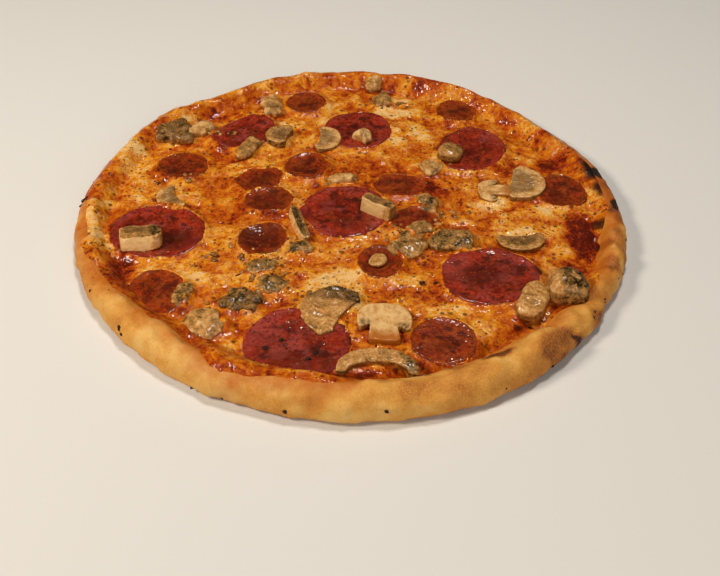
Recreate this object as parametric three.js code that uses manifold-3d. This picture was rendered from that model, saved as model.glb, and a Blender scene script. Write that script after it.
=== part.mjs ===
// Diavola pizza, about 30 cm across: a dough disc with an uneven raised rim, a layer of melted cheese
// and sauce that runs over the rim at the back and left, slices of two salamis, and cooked mushroom
// pieces. Millimetres, +Z up. The slices sit in pockets in the cheese, and the mushrooms lie on it.
// Places are measured from the middle of the dough, x to the right and y away from the eater.

import * as THREE from 'three';
import { mergeVertices } from 'three/addons/utils/BufferGeometryUtils.js';
import Module from 'manifold-3d';

const wasm = await Module();
wasm.setup();

// ---- Driving dimensions ------------------------------------------------------------------------

const GAP = 0.3; // clearance between touching pieces
const POCKET_TOP = 40; // the slices' pockets are cut open to above everything

const DOUGH_THICKNESS = 3.6; // flat middle of the dough
const RIM_CREST = 0.56; // where the rim is highest, from its inner foot (0) to its outer edge (1)
const RIM_BELLY = 5; // height at which the rim is widest
const UNDERSIDE_TUCK = 5; // how far the resting face stays inside the outer edge
const UNDERSIDE_ROUND = 1.7; // height at which the tuck under the rim begins
const CHEESE_THICKNESS = 4; // sauce and cheese together, over the flat dough
const CHEESE_FILM = 1.5; // the same layer where it has run up the rim
const CHEESE_LIP = 0.75; // the layer at its outer edge
const CHEESE_WAVE = 0.55; // height of the slow swells in the melted surface
const SALAMI_THICKNESS = 2.2;
const SALAMI_SUNK = 1.3;
const MUSHROOM_SUNK = 1.6;
const WIDEST_NARROW_SLICE = 38;
const WIDE_SLICE_SIDES = 16;
const NARROW_SLICE_SIDES = 12;
const ROUNDED_SIDES = 9; // sides of a rounded mushroom piece

const SPOKES = 44; // straight sides of the rim
const MIDDLE_RINGS = 5; // rings of the cheese surface over the flat dough

// ---- Colours and finishes ----------------------------------------------------------------------

const finish = (color, roughness) => new THREE.MeshStandardMaterial({ color, roughness, metalness: 0 });
const bakedDough = finish('#d9a55f', 0.7);
const meltedCheese = finish('#d9861e', 0.35);
const wideSalami = finish('#96342a', 0.4);
const narrowSalami = finish('#83341a', 0.4);
const cookedMushroom = finish('#b79a66', 0.55);

// ---- The rim, station by station round the pizza -----------------------------------------------

// A smooth closed curve through [angle in degrees, value] stations, the first of them at 0.
function aroundTheRim(stations) {
  const count = stations.length;
  const station = (i) => stations[(i + count) % count];
  return (angle) => {
    const turned = THREE.MathUtils.euclideanModulo(angle, 360);
    const i = stations.findLastIndex(([at]) => at <= turned);
    const span = THREE.MathUtils.euclideanModulo(station(i + 1)[0] - station(i)[0], 360);
    const t = (turned - station(i)[0]) / span;
    const [a, b, c, d] = [-1, 0, 1, 2].map((k) => station(i + k)[1]);
    const bend = 2 * a - 5 * b + 4 * c - d;
    const twist = 3 * b - a - 3 * c + d;
    return 0.5 * (2 * b + (c - a) * t + bend * t ** 2 + twist * t ** 3);
  };
}

const outerRadius = aroundTheRim([
  [0, 153.8], [16, 153.4], [34, 150.6], [60, 153], [96, 155], [116, 153.8], [127, 149.8], [141, 155],
  [160, 151.6], [182, 152.4], [210, 150.6], [250, 152.3], [292, 155.2], [330, 152.6], [345, 153.8],
]);
const rimHeight = aroundTheRim([
  [0, 12], [22, 13], [45, 11.5], [66, 14.6], [80, 12.6], [98, 13.6], [127, 11.4], [142, 13], [165, 11],
  [186, 11.6], [212, 14], [245, 16], [285, 16.5], [312, 15.6], [324, 11.8], [338, 13],
]);
const rimWidth = aroundTheRim([
  [0, 17], [40, 18], [95, 19], [150, 18], [190, 18], [212, 22], [232, 27], [262, 26], [300, 25], [318, 24],
  [326, 16], [342, 17],
]);
// How far up the rim the cheese reaches, in the same units as RIM_CREST.
const cheeseReach = aroundTheRim([
  [0, 0.62], [15, 0.72], [35, 0.88], [70, 0.92], [150, 0.93], [172, 0.86], [190, 0.62], [205, 0.48],
  [225, 0.3], [246, 0.36], [262, 0.28], [300, 0.26], [322, 0.3], [345, 0.45],
]);

const onSpoke = (angle, radius, z) => {
  const turn = THREE.MathUtils.degToRad(angle);
  return new THREE.Vector3(radius * Math.cos(turn), radius * Math.sin(turn), z);
};

// Height of the dough's upper side at a share of the way across the rim.
function rimProfile(angle, across) {
  const height = rimHeight(angle);
  if (across <= RIM_CREST) {
    const climb = THREE.MathUtils.smoothstep(across, -0.04, RIM_CREST);
    return DOUGH_THICKNESS + (height - DOUGH_THICKNESS) * climb ** 0.8;
  }
  const fall = Math.min(1, (across - RIM_CREST) / (1 - RIM_CREST));
  return RIM_BELLY + (height - RIM_BELLY) * Math.sqrt(1 - fall ** 2);
}

const acrossRim = (angle, radius) => (radius - outerRadius(angle) + rimWidth(angle)) / rimWidth(angle);
const radiusAcross = (angle, across) => outerRadius(angle) - rimWidth(angle) * (1 - across);
const doughTop = (angle, radius) => rimProfile(angle, Math.max(0, acrossRim(angle, radius)));

// Slow swells of the melted surface, a few centimetres long.
function swell(x, y) {
  const long = Math.sin(x / 19 + 0.7) * Math.cos(y / 23 - 0.4);
  const short = Math.sin((x + 1.7 * y) / 17 + 2.1) * Math.sin((1.4 * x - y) / 21 + 0.3);
  return CHEESE_WAVE * (0.65 * long + 0.6 * short);
}

function cheeseTop(angle, radius) {
  const across = acrossRim(angle, radius);
  const reach = cheeseReach(angle);
  const onFlat = 1 - THREE.MathUtils.smoothstep(across, -0.25, 0.4);
  const towardsEdge = THREE.MathUtils.smoothstep(across, reach - 0.3, reach);
  const film = THREE.MathUtils.lerp(CHEESE_FILM, CHEESE_LIP, towardsEdge);
  const thickness = THREE.MathUtils.lerp(film, CHEESE_THICKNESS, onFlat);
  const middle = onSpoke(angle, radius, 0);
  return doughTop(angle, radius) + thickness + swell(middle.x, middle.y) * onFlat;
}

const cheeseHeightAt = (x, y) => cheeseTop(THREE.MathUtils.radToDeg(Math.atan2(y, x)), Math.hypot(x, y));

// ---- Closed meshes and solids ------------------------------------------------------------------

// Joins rings of equal length, from a first pole to a last pole, into one closed mesh.
function loft(firstPole, rings, lastPole) {
  const sides = rings[0].length;
  const points = [firstPole, ...rings.flat(), lastPole];
  const ringPoint = (ring, side) => 1 + ring * sides + (side % sides);
  const faces = [];
  for (let side = 0; side < sides; side++) {
    faces.push(0, ringPoint(0, side), ringPoint(0, side + 1));
    for (let ring = 0; ring < rings.length - 1; ring++) {
      const [a, b] = [ringPoint(ring, side), ringPoint(ring, side + 1)];
      const [c, d] = [ringPoint(ring + 1, side), ringPoint(ring + 1, side + 1)];
      faces.push(a, c, b, b, c, d);
    }
    const last = rings.length - 1;
    faces.push(ringPoint(last, side), points.length - 1, ringPoint(last, side + 1));
  }
  const geometry = new THREE.BufferGeometry().setFromPoints(points);
  geometry.setIndex(faces);
  return geometry;
}

function toSolid(geometry) {
  const bare = geometry.clone();
  bare.deleteAttribute('normal');
  bare.deleteAttribute('uv');
  const merged = mergeVertices(bare, 1e-4);
  const vertProperties = new Float32Array(merged.attributes.position.array);
  const triVerts = new Uint32Array(merged.index.array);
  return new wasm.Manifold(new wasm.Mesh({ numProp: 3, vertProperties, triVerts }));
}

// Cutting can leave crumbs behind, so only the largest body is kept.
function largestBody(solid) {
  const bodies = solid.decompose();
  return bodies.reduce((best, body) => (body.volume() > best.volume() ? body : best));
}

function toGeometry(solid) {
  const mesh = solid.getMesh();
  const geometry = new THREE.BufferGeometry();
  geometry.setAttribute('position', new THREE.BufferAttribute(new Float32Array(mesh.vertProperties), 3));
  geometry.setIndex(new THREE.BufferAttribute(new Uint32Array(mesh.triVerts), 1));
  geometry.computeVertexNormals();
  return geometry;
}

const spokeAngles = Array.from({ length: SPOKES }, (_, k) => (k * 360) / SPOKES);

// ---- Crust -------------------------------------------------------------------------------------

// The dough disc and its rim. With grow above 0 it is the space that the crust and its gap take up.
function crustGeometry(grow = 0) {
  const rimSteps = [0, 0.2, 0.38, RIM_CREST, 0.74, 0.88, 0.97];
  const rings = rimSteps.map((across) => spokeAngles.map((angle) =>
    onSpoke(angle, radiusAcross(angle, across), rimProfile(angle, across) + grow)));
  for (const [tuck, z] of [[0, RIM_BELLY], [0.3 * UNDERSIDE_TUCK, UNDERSIDE_ROUND], [UNDERSIDE_TUCK, 0]]) {
    rings.push(spokeAngles.map((angle) => onSpoke(angle, outerRadius(angle) + grow - tuck, z)));
  }
  return loft(new THREE.Vector3(0, 0, DOUGH_THICKNESS + grow), rings, new THREE.Vector3());
}

// ---- Cheese and sauce --------------------------------------------------------------------------

// A slab with the melted surface on top and its underside inside the dough, before it is cut to fit.
// With grow above 0 it is the space that the layer and its gap take up.
function cheeseSlab(grow = 0) {
  const insideDough = DOUGH_THICKNESS / 2;
  const insideRim = 0.8; // how far the slab's skirt dips below the dough's surface
  const ringsOverFlat = Array.from({ length: MIDDLE_RINGS }, (_, k) => (k + 1) / (MIDDLE_RINGS + 0.4));
  const rings = ringsOverFlat.map((share) => spokeAngles.map((angle) => {
    const radius = radiusAcross(angle, 0) * share;
    return onSpoke(angle, radius, cheeseTop(angle, radius) + grow);
  }));
  for (const share of [0, 0.5, 1]) {
    rings.push(spokeAngles.map((angle) => {
      const radius = radiusAcross(angle, cheeseReach(angle) * share);
      return onSpoke(angle, radius + (share === 1 ? grow : 0), cheeseTop(angle, radius) + grow);
    }));
  }
  rings.push(spokeAngles.map((angle) => {
    const radius = radiusAcross(angle, cheeseReach(angle));
    return onSpoke(angle, radius + grow, Math.min(RIM_BELLY, doughTop(angle, radius) - insideRim));
  }));
  rings.push(spokeAngles.map((angle) => onSpoke(angle, radiusAcross(angle, 0), insideDough)));
  return loft(new THREE.Vector3(0, 0, cheeseTop(0, 0) + grow), rings, new THREE.Vector3(0, 0, insideDough));
}

// ---- Toppings ----------------------------------------------------------------------------------

// Puts a piece built flat at the origin onto the cheese: turned, laid along the slope under it,
// and sunk so that it beds into the melt.
function layOnCheese(geometry, piece, sunk) {
  const [x, y] = piece.at;
  const reach = 0.6 * Math.min(...piece.size) / 2;
  const east = cheeseHeightAt(x + reach, y) - cheeseHeightAt(x - reach, y);
  const north = cheeseHeightAt(x, y + reach) - cheeseHeightAt(x, y - reach);
  const normal = new THREE.Vector3(-east, -north, 2 * reach).normalize();
  const lean = new THREE.Quaternion().setFromUnitVectors(new THREE.Vector3(0, 0, 1), normal);
  const turn = new THREE.Quaternion().setFromAxisAngle(
    new THREE.Vector3(0, 0, 1), THREE.MathUtils.degToRad(piece.turn ?? 0));
  geometry.applyQuaternion(lean.multiply(turn));
  return geometry.translate(x, y, cheeseHeightAt(x, y) - sunk - (piece.deeper ?? 0));
}

// A slice of salami that has warped in the oven: cup lifts its whole edge, curl lifts two opposite
// sides, and the outline is a little uneven, as the sausage was.
function salamiGeometry(slice, grow, tall) {
  const [length, width] = slice.size;
  const sides = length > WIDEST_NARROW_SLICE ? WIDE_SLICE_SIDES : NARROW_SLICE_SIDES;
  const top = tall ? POCKET_TOP : SALAMI_THICKNESS + grow;
  const warp = (share, angle) => share ** 2 * ((slice.cup ?? 0) + (slice.curl ?? 0) * Math.cos(2 * angle));
  const ring = (share, z) => Array.from({ length: sides }, (_, k) => {
    const angle = (k * 2 * Math.PI) / sides;
    const uneven = 1 + 0.02 * Math.sin(3 * angle + length) + 0.012 * Math.cos(5 * angle + width);
    const along = (length / 2) * uneven * share + (share ? grow : 0);
    const aside = (width / 2) * uneven * share + (share ? grow : 0);
    return new THREE.Vector3(along * Math.cos(angle), aside * Math.sin(angle), z + warp(share, angle));
  });
  const rings = [ring(1, top), ring(1, -grow)];
  if (!tall) {
    rings.unshift(ring(0.6, top));
  }
  return loft(new THREE.Vector3(0, 0, top), rings, new THREE.Vector3(0, 0, -grow));
}

const salamiShape = (slice, grow, tall) => layOnCheese(salamiGeometry(slice, grow, tall), slice, SALAMI_SUNK);

// A rounded piece, such as a small cap, a stalk end or a cut cube. Squareness above 2 squares it off.
function roundedGeometry(piece, grow) {
  const [length, width, height] = piece.size;
  const squareness = piece.squareness ?? 2;
  const power = 2 / squareness;
  const bend = (value) => Math.sign(value) * Math.abs(value) ** power;
  const ring = (share, z) => Array.from({ length: ROUNDED_SIDES }, (_, k) => {
    const angle = ((k + 0.5) * 2 * Math.PI) / ROUNDED_SIDES;
    const along = (length / 2) * share + grow;
    const aside = (width / 2) * share + grow;
    return new THREE.Vector3(along * bend(Math.cos(angle)), aside * bend(Math.sin(angle)), z);
  });
  const shoulder = squareness > 2 ? 0.8 : 0.62;
  const rings = [ring(shoulder, height * 0.9 + grow), ring(1, height * 0.45), ring(0.9, -grow)];
  return loft(new THREE.Vector3(0, 0, height + grow), rings, new THREE.Vector3(0, 0, -grow));
}

// Lengthwise cut through a mushroom: a domed cap on a stalk that widens a little at its foot.
// stalk is half the stalk's width as a share of the cap's.
function capAndStalkOutline({ size: [length, width], stalk = 0.24 }) {
  const shape = new THREE.Shape();
  const capHeight = length * 0.54;
  const underCap = length / 2 - capHeight;
  const [foot, neck] = [width * stalk * 1.1, width * stalk * 0.92];
  const droop = 0.2; // how far past half a turn the edge of the cap curls under, in radians
  shape.moveTo(-foot, -length / 2);
  shape.lineTo(foot, -length / 2);
  shape.lineTo(neck, underCap);
  shape.lineTo(width * 0.42, underCap - length * 0.08);
  shape.absellipse(0, underCap, width / 2, capHeight, -droop, Math.PI + droop, false, 0);
  shape.lineTo(-neck, underCap);
  return shape;
}

// Slice across the edge of a cap: a bowed band on two blunt feet. band is how thick it is in the
// middle as a share of its width: 1 makes it straight along the bottom.
function crescentOutline({ size: [length, width], band = 0.75 }) {
  const shape = new THREE.Shape();
  const half = length / 2;
  const low = -width / 2;
  const foot = width * band * 0.4;
  shape.moveTo(-half, low);
  shape.lineTo(foot - half, low);
  shape.quadraticCurveTo(0, width * (1.52 - 2 * band), half - foot, low);
  shape.lineTo(half, low);
  shape.quadraticCurveTo(half * 1.02, width * 0.12, half * 0.55, width * 0.36);
  shape.quadraticCurveTo(0, width * 0.66, -half * 0.55, width * 0.36);
  shape.quadraticCurveTo(-half * 1.02, width * 0.12, -half, low);
  return shape;
}

function slabGeometry(outline, piece, grow) {
  const geometry = new THREE.ExtrudeGeometry(outline(piece), {
    depth: piece.size[2] + 2 * grow, curveSegments: 3, steps: 1, bevelEnabled: grow > 0, bevelThickness: 0.02,
    bevelSize: grow, bevelSegments: 1,
  });
  return geometry.translate(0, 0, -grow);
}

const mushroomCuts = {
  rounded: roundedGeometry,
  capAndStalk: (piece, grow) => slabGeometry(capAndStalkOutline, piece, grow),
  crescent: (piece, grow) => slabGeometry(crescentOutline, piece, grow),
};

const mushroomShape = (piece, grow) =>
  layOnCheese(mushroomCuts[piece.cut ?? 'rounded'](piece, grow), piece, MUSHROOM_SUNK);

// Slices of the wide salami. size is length and width.
const wideSlices = [
  { at: [-104, -24], size: [53, 47], turn: -8, cup: 0.8 },
  { at: [-2, -2], size: [50, 49], turn: 20, cup: 0.3 },
  { at: [74, -58], size: [52, 45], turn: 5, cup: 1 },
  { at: [-23, -109], size: [53, 49], turn: 0, curl: -0.8 },
  { at: [4, 83], size: [43, 44], turn: 0, cup: 0.4 },
  { at: [73, 62], size: [50, 40], turn: 62, cup: 0.6 },
  { at: [-67, 77], size: [42, 36], turn: 40, curl: 1.6 },
];

// Slices of the narrow salami, from the front to the back and then the half-covered ones.
const narrowSlices = [
  { at: [47.5, -106], size: [34, 32], turn: 0, cup: 0.3 },
  { at: [-96, -73], size: [37, 30], turn: 115, cup: 0.2 },
  { at: [17, -47], size: [29, 24], turn: 95, cup: 1 },
  { at: [-46, -31], size: [29, 27], turn: 70, cup: 2.2 },
  { at: [-46, 7], size: [29, 25], turn: 10, cup: 1.2 },
  { at: [122, 20], size: [33, 29], turn: 90, cup: 0.4 },
  { at: [-99, 39], size: [31, 29], turn: 0, cup: 1 },
  { at: [-26, 41], size: [28, 26], turn: 90, cup: 1.6 },
  { at: [67, 107], size: [30, 27], turn: 80, curl: 0.9 },
  { at: [-30, 113], size: [27, 26], turn: 0, cup: 0.8 },
  { at: [37, -10], size: [29, 27], turn: 0, cup: 0.4 },
  { at: [29, 23], size: [34, 23], turn: 0, cup: 0.4 },
  { at: [-53, 28], size: [33, 26], turn: 25, cup: 0.2, deeper: 0.5 },
];

// Mushroom pieces. size is length, width and height as the piece lies.
const mushroomPieces = [
  { at: [-111, -34], size: [21, 15, 12], turn: 6, squareness: 4 },
  { at: [16, -4], size: [19, 9, 10.5], turn: -34, squareness: 4 },
  { at: [19, -96], size: [28, 28, 6.5], turn: 0, cut: 'capAndStalk', stalk: 0.3 },
  { at: [15, -120], size: [39, 19, 6.5], turn: 2, cut: 'crescent', band: 0.42 },
  { at: [-10, -84], size: [25, 36, 6], turn: 59, cut: 'capAndStalk', stalk: 0.22 },
  { at: [112, -70], size: [22, 21, 16] },
  { at: [94, -78], size: [27, 15, 9], turn: 65, squareness: 2.6 },
  { at: [103, 25], size: [32, 21, 5.5], turn: -105, cut: 'crescent', band: 0.95 },
  { at: [85, 18], size: [23, 21, 5], turn: 92, cut: 'capAndStalk', stalk: 0.26 },
  { at: [94, -28], size: [27, 15, 3.6], turn: 186, cut: 'crescent', band: 0.8 },
  { at: [-110, 76], size: [28, 21, 8], turn: 118, squareness: 3 },
  { at: [-93, 79], size: [17, 13, 7.5], turn: 80 },
  { at: [-52, 108], size: [25, 12, 7], turn: 98, squareness: 2.4 },
  { at: [13, 138], size: [15, 10, 7], turn: 75 },
  { at: [19, 118], size: [15, 12, 5], turn: 80, squareness: 2.6 },
  { at: [-62, 59], size: [23, 12, 6.5], turn: 75, squareness: 2.6 },
  { at: [-45, 71], size: [20, 15, 6.5], turn: 75, cut: 'crescent', band: 0.9 },
  { at: [-14, 69], size: [25, 15, 5], turn: -96, cut: 'crescent', band: 0.85 },
  { at: [7, 74], size: [17, 10, 6.5], turn: -55, squareness: 2.6 },
  { at: [60, 54], size: [17, 15, 10], turn: 60 },
  { at: [-102, 5], size: [22, 14, 4.5], turn: 120, cut: 'crescent', band: 0.8 },
  { at: [-27.5, -17], size: [29, 7, 6], turn: -72, squareness: 3 },
  { at: [-25, -36], size: [14, 9, 5], turn: 15, squareness: 2.6 },
  { at: [-45, -53], size: [17, 13, 5], turn: 20, squareness: 2.4 },
  { at: [-38, -67], size: [16, 12, 4.5], turn: -30, squareness: 2.4 },
  { at: [-53, -80], size: [20, 15, 5.5], turn: 10, squareness: 2.4 },
  { at: [-84, -75], size: [20, 12, 4.2], turn: 85 },
  { at: [-70, -98], size: [24, 20, 5], turn: -35, cut: 'capAndStalk' },
  { at: [32, -34], size: [20, 16, 6], turn: 60, squareness: 2.4 },
  { at: [39, -19], size: [14, 10, 6.5], turn: 20, squareness: 2.4 },
  { at: [56, -29], size: [22, 18, 7], turn: 10, squareness: 2.4 },
  { at: [44, 5], size: [17, 11, 5.5], turn: 110, squareness: 2.6 },
  { at: [16, -47], size: [13, 10, 5.5], turn: 50 },
  { at: [-5, 28], size: [17, 8, 5.5], turn: 8, squareness: 2.4 },
  { at: [48, 42], size: [15, 13, 5], turn: 40, squareness: 2.4 },
];

// ---- Assembly ----------------------------------------------------------------------------------

const pizza = new THREE.Group();
pizza.name = 'diavola_pizza';
const base = new THREE.Group();
const slices = new THREE.Group();
const mushrooms = new THREE.Group();
pizza.add(base, slices, mushrooms);

function addNode(group, name, solid, material) {
  const mesh = new THREE.Mesh(toGeometry(solid), material);
  mesh.name = name;
  group.add(mesh);
}

const crustAndGap = toSolid(crustGeometry(GAP));
const meltAndGap = toSolid(cheeseSlab(GAP)).add(crustAndGap);
const laid = []; // the room that the toppings laid so far take up, with their gaps

// A topping gives way to the ground that it lies on and to the toppings laid before it.
function addToppings(group, family, pieces, shape, ground, material) {
  pieces.forEach((piece, index) => {
    const overGround = toSolid(shape(piece, 0)).subtract(ground);
    const solid = laid.reduce((rest, earlier) => rest.subtract(earlier), overGround);
    addNode(group, `${family}_${String(index + 1).padStart(2, '0')}`, largestBody(solid), material);
    laid.push(toSolid(shape(piece, GAP)));
  });
}

// The slices bed into pockets in the melt, and the mushrooms lie on it and on the slices.
addToppings(slices, 'salami_wide', wideSlices, salamiShape, crustAndGap, wideSalami);
addToppings(slices, 'salami_narrow', narrowSlices, salamiShape, crustAndGap, narrowSalami);
addToppings(mushrooms, 'mushroom', mushroomPieces, mushroomShape, meltAndGap, cookedMushroom);

const pockets = [...wideSlices, ...narrowSlices].map((slice) => toSolid(salamiShape(slice, GAP, true)));
const wholeMelt = toSolid(cheeseSlab()).subtract(crustAndGap);
const melt = pockets.reduce((rest, pocket) => rest.subtract(pocket), wholeMelt);
addNode(base, 'crust', toSolid(crustGeometry()), bakedDough);
addNode(base, 'cheese', largestBody(melt), meltedCheese);

// The middle of the resting side is the origin.
const box = new THREE.Box3().setFromObject(pizza);
const middle = box.getCenter(new THREE.Vector3());
pizza.position.set(-middle.x, -middle.y, -box.min.z);

export default pizza;
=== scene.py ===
"""Looks of a diavola pizza: a baked dough rim, melted cheese over sauce, oily salami, cooked mushrooms."""

import logging
import math
from dataclasses import dataclass, field
from enum import Enum
from itertools import product

import bpy
import numpy as np
from mathutils import Matrix, Vector
from mathutils.bvhtree import BVHTree


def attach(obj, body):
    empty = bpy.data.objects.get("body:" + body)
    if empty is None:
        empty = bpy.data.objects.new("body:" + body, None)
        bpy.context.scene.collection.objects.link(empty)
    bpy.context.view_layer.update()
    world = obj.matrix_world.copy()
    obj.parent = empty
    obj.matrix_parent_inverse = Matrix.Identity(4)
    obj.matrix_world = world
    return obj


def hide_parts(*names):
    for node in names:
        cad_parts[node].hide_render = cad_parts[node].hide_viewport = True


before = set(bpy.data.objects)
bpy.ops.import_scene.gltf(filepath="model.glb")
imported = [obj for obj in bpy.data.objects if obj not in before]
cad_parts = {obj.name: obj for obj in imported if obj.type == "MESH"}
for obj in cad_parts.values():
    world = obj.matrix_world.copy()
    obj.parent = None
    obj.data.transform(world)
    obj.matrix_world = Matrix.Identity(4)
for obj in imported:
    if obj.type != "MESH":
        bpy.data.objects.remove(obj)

log = logging.getLogger("pizza")

MM = 0.001  # Blender's metres in one millimetre
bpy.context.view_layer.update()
DOWN = Vector((0, 0, -1))
FULL_TURN = 360
ABOVE_ALL = 60.0  # a height over every topping, in mm


# ---- Numbers ------------------------------------------------------------------------------------


def srgb(code: str) -> tuple[float, float, float, float]:
    """Turns an sRGB hex colour to linear light.

    Args:
        code: The colour, such as "#D9861E".

    Returns:
        Red, green, blue and a full alpha.
    """
    parts = [int(code[i:i + 2], 16) / 255 for i in (1, 3, 5)]
    linear = [p / 12.92 if p <= 0.04045 else ((p + 0.055) / 1.055) ** 2.4 for p in parts]
    return (*linear, 1.0)


def per_mm(size: float) -> float:
    """The scale of a pattern whose features are that many millimetres wide."""
    return 1 / (size * MM)


def ease(low: float, high: float, value: np.ndarray) -> np.ndarray:
    """Goes smoothly from 0 at low to 1 at high. Low may be the larger one."""
    t = np.clip((value - low) / (high - low), 0, 1)
    return t * t * (3 - 2 * t)


def flat(x: np.ndarray, y: np.ndarray, z: float = 0.0) -> np.ndarray:
    """Puts coordinates into one array of points, one row each."""
    return np.stack([x, y, np.full_like(x, z)], axis=-1)


def lattice_noise(points: np.ndarray, cell: float, seed: int) -> np.ndarray:
    """Smooth random swells, the same each run.

    Args:
        points: Places in mm, one row each.
        cell: Distance between swells in mm.
        seed: Chooses the pattern.

    Returns:
        A value from about -1 to 1 for each point.
    """
    scaled = points / cell + 31.7 * seed
    corner = np.floor(scaled).astype(np.int64)
    inside = scaled - corner
    fade = inside ** 3 * (inside * (inside * 6 - 15) + 10)
    total = np.zeros(len(points))
    for step in map(np.array, product((0, 1), repeat=3)):
        key = (corner + step) * np.array([73856093, 19349663, 83492791])
        mixed = (key[:, 0] ^ key[:, 1] ^ key[:, 2] ^ (seed * 2654435)) & 0x7FFFFFFF
        mixed = ((mixed ^ (mixed >> 13)) * 1274126177) & 0x7FFFFFFF
        mixed = mixed ^ (mixed >> 15)
        slope = np.stack([(mixed >> shift) & 255 for shift in (0, 8, 16)], axis=-1) / 127.5 - 1
        weight = np.where(step, fade, 1 - fade).prod(axis=1)
        total += weight * (slope * (inside - step)).sum(axis=1)
    return total * 1.6


def rough_noise(points: np.ndarray, cell: float, seed: int, octaves: int = 3, keep: float = 0.5) -> np.ndarray:
    """Adds finer and finer lattice noise.

    Args:
        points: Places in mm, one row each.
        cell: Distance between the largest swells in mm.
        seed: Chooses the pattern.
        octaves: How many scales are added, each half as wide as the last.
        keep: Strength of each scale as a share of the one before.

    Returns:
        A value from about -1 to 1 for each point.
    """
    scales = range(octaves)
    total = sum(keep ** k * lattice_noise(points, cell / 2 ** k, seed + 7 * k) for k in scales)
    return total / sum(keep ** k for k in scales) * 1.35


def smooth_along(values: np.ndarray, sigma: float, axis: int = 0) -> np.ndarray:
    """Blurs values that wrap round, such as those taken angle by angle."""
    reach = range(-math.ceil(3 * sigma), math.ceil(3 * sigma) + 1)
    weights = [math.exp(-0.5 * (k / sigma) ** 2) for k in reach]
    return sum(w * np.roll(values, k, axis) for w, k in zip(weights, reach)) / sum(weights)


def sample_table(table: np.ndarray, row: np.ndarray, column: np.ndarray) -> np.ndarray:
    """Reads a table between its entries. Rows wrap round, columns don't."""
    rows, columns = table.shape
    column = np.clip(column, 0, columns - 1.001)
    r0 = np.floor(row).astype(int)
    c0 = np.floor(column).astype(int)
    across_row = row - r0
    across_column = column - c0
    top = table[r0 % rows, c0] * (1 - across_column) + table[r0 % rows, c0 + 1] * across_column
    low = table[(r0 + 1) % rows, c0] * (1 - across_column) + table[(r0 + 1) % rows, c0 + 1] * across_column
    return top * (1 - across_row) + low * across_row


# ---- Meshes -------------------------------------------------------------------------------------


@dataclass
class Sheet:
    """A closed surface in the making: points in mm, faces, and values painted on the points."""

    points: np.ndarray
    faces: list[tuple[int, ...]]
    paint: dict[str, np.ndarray] = field(default_factory=dict)

    def to_object(self, name: str) -> bpy.types.Object:
        """Makes the Blender object, in metres, with the painted values as attributes."""
        mesh = bpy.data.meshes.new(name)
        mesh.from_pydata((self.points * MM).tolist(), [], self.faces)
        for key, values in self.paint.items():
            layer = mesh.attributes.new(key, "FLOAT", "POINT")
            layer.data.foreach_set("value", np.asarray(values, dtype=np.float32))
        mesh.shade_smooth()
        piece = bpy.data.objects.new(name, mesh)
        bpy.context.scene.collection.objects.link(piece)
        return piece


def joined(sheets: list[Sheet]) -> Sheet:
    """Joins surfaces into one, each still closed by itself."""
    starts = np.cumsum([0] + [len(s.points) for s in sheets])
    faces = [tuple(i + start for i in face) for s, start in zip(sheets, starts) for face in s.faces]
    keys = sheets[0].paint.keys()
    paint = {key: np.concatenate([s.paint[key] for s in sheets]) for key in keys}
    return Sheet(np.concatenate([s.points for s in sheets]), faces, paint)


@dataclass
class DiscGrid:
    """A round sheet covered by an even grid of squares, with its edge as a list of points."""

    steps: int

    def __post_init__(self) -> None:
        """Spreads the squares of a square grid evenly over the unit disc."""
        line = np.linspace(-1, 1, self.steps + 1)
        a, b = np.meshgrid(line, line, indexing="ij")
        wide = np.abs(a) > np.abs(b)
        safe_a = np.where(a == 0, 1e-9, a)
        safe_b = np.where(b == 0, 1e-9, b)
        self.radius = np.where(wide, a, b).ravel()
        turn = np.where(wide, math.pi / 4 * b / safe_a, math.pi / 2 - math.pi / 4 * a / safe_b).ravel()
        self.x = self.radius * np.cos(turn)
        self.y = self.radius * np.sin(turn)
        self.radius = np.abs(self.radius)
        self.angle = np.degrees(np.arctan2(self.y, self.x))
        side = self.steps + 1
        corner = (np.arange(self.steps)[:, None] * side + np.arange(self.steps)).ravel()
        self.faces = np.stack([corner, corner + side, corner + side + 1, corner + 1], -1).tolist()
        first = np.arange(self.steps)
        self.edge = np.concatenate([
            first * side, self.steps * side + first, (self.steps - first) * side + self.steps,
            self.steps - first,
        ])

    def closed(self, top: np.ndarray, lower_rings: list[np.ndarray], bottom: np.ndarray) -> Sheet:
        """Closes the sheet below with rings that go down from its edge and a fan at the bottom.

        Args:
            top: The sheet's points in mm.
            lower_rings: Rings of points in mm, each as long as the edge.
            bottom: The point in mm where the fan meets.

        Returns:
            The closed surface.
        """
        count = len(self.edge)
        rings = [self.edge] + [len(top) + k * count + np.arange(count) for k in range(len(lower_rings))]
        faces = [tuple(f) for f in self.faces]
        for upper, lower in zip(rings, rings[1:]):
            quads = np.stack([upper, lower, np.roll(lower, -1), np.roll(upper, -1)], -1)
            faces += [tuple(q) for q in quads.tolist()]
        points = np.concatenate([top, *lower_rings, bottom[None]])
        last = rings[-1]
        pole = np.full(count, len(points) - 1)
        faces += [tuple(t) for t in np.stack([last, pole, np.roll(last, -1)], -1).tolist()]
        return Sheet(points, faces)


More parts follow.
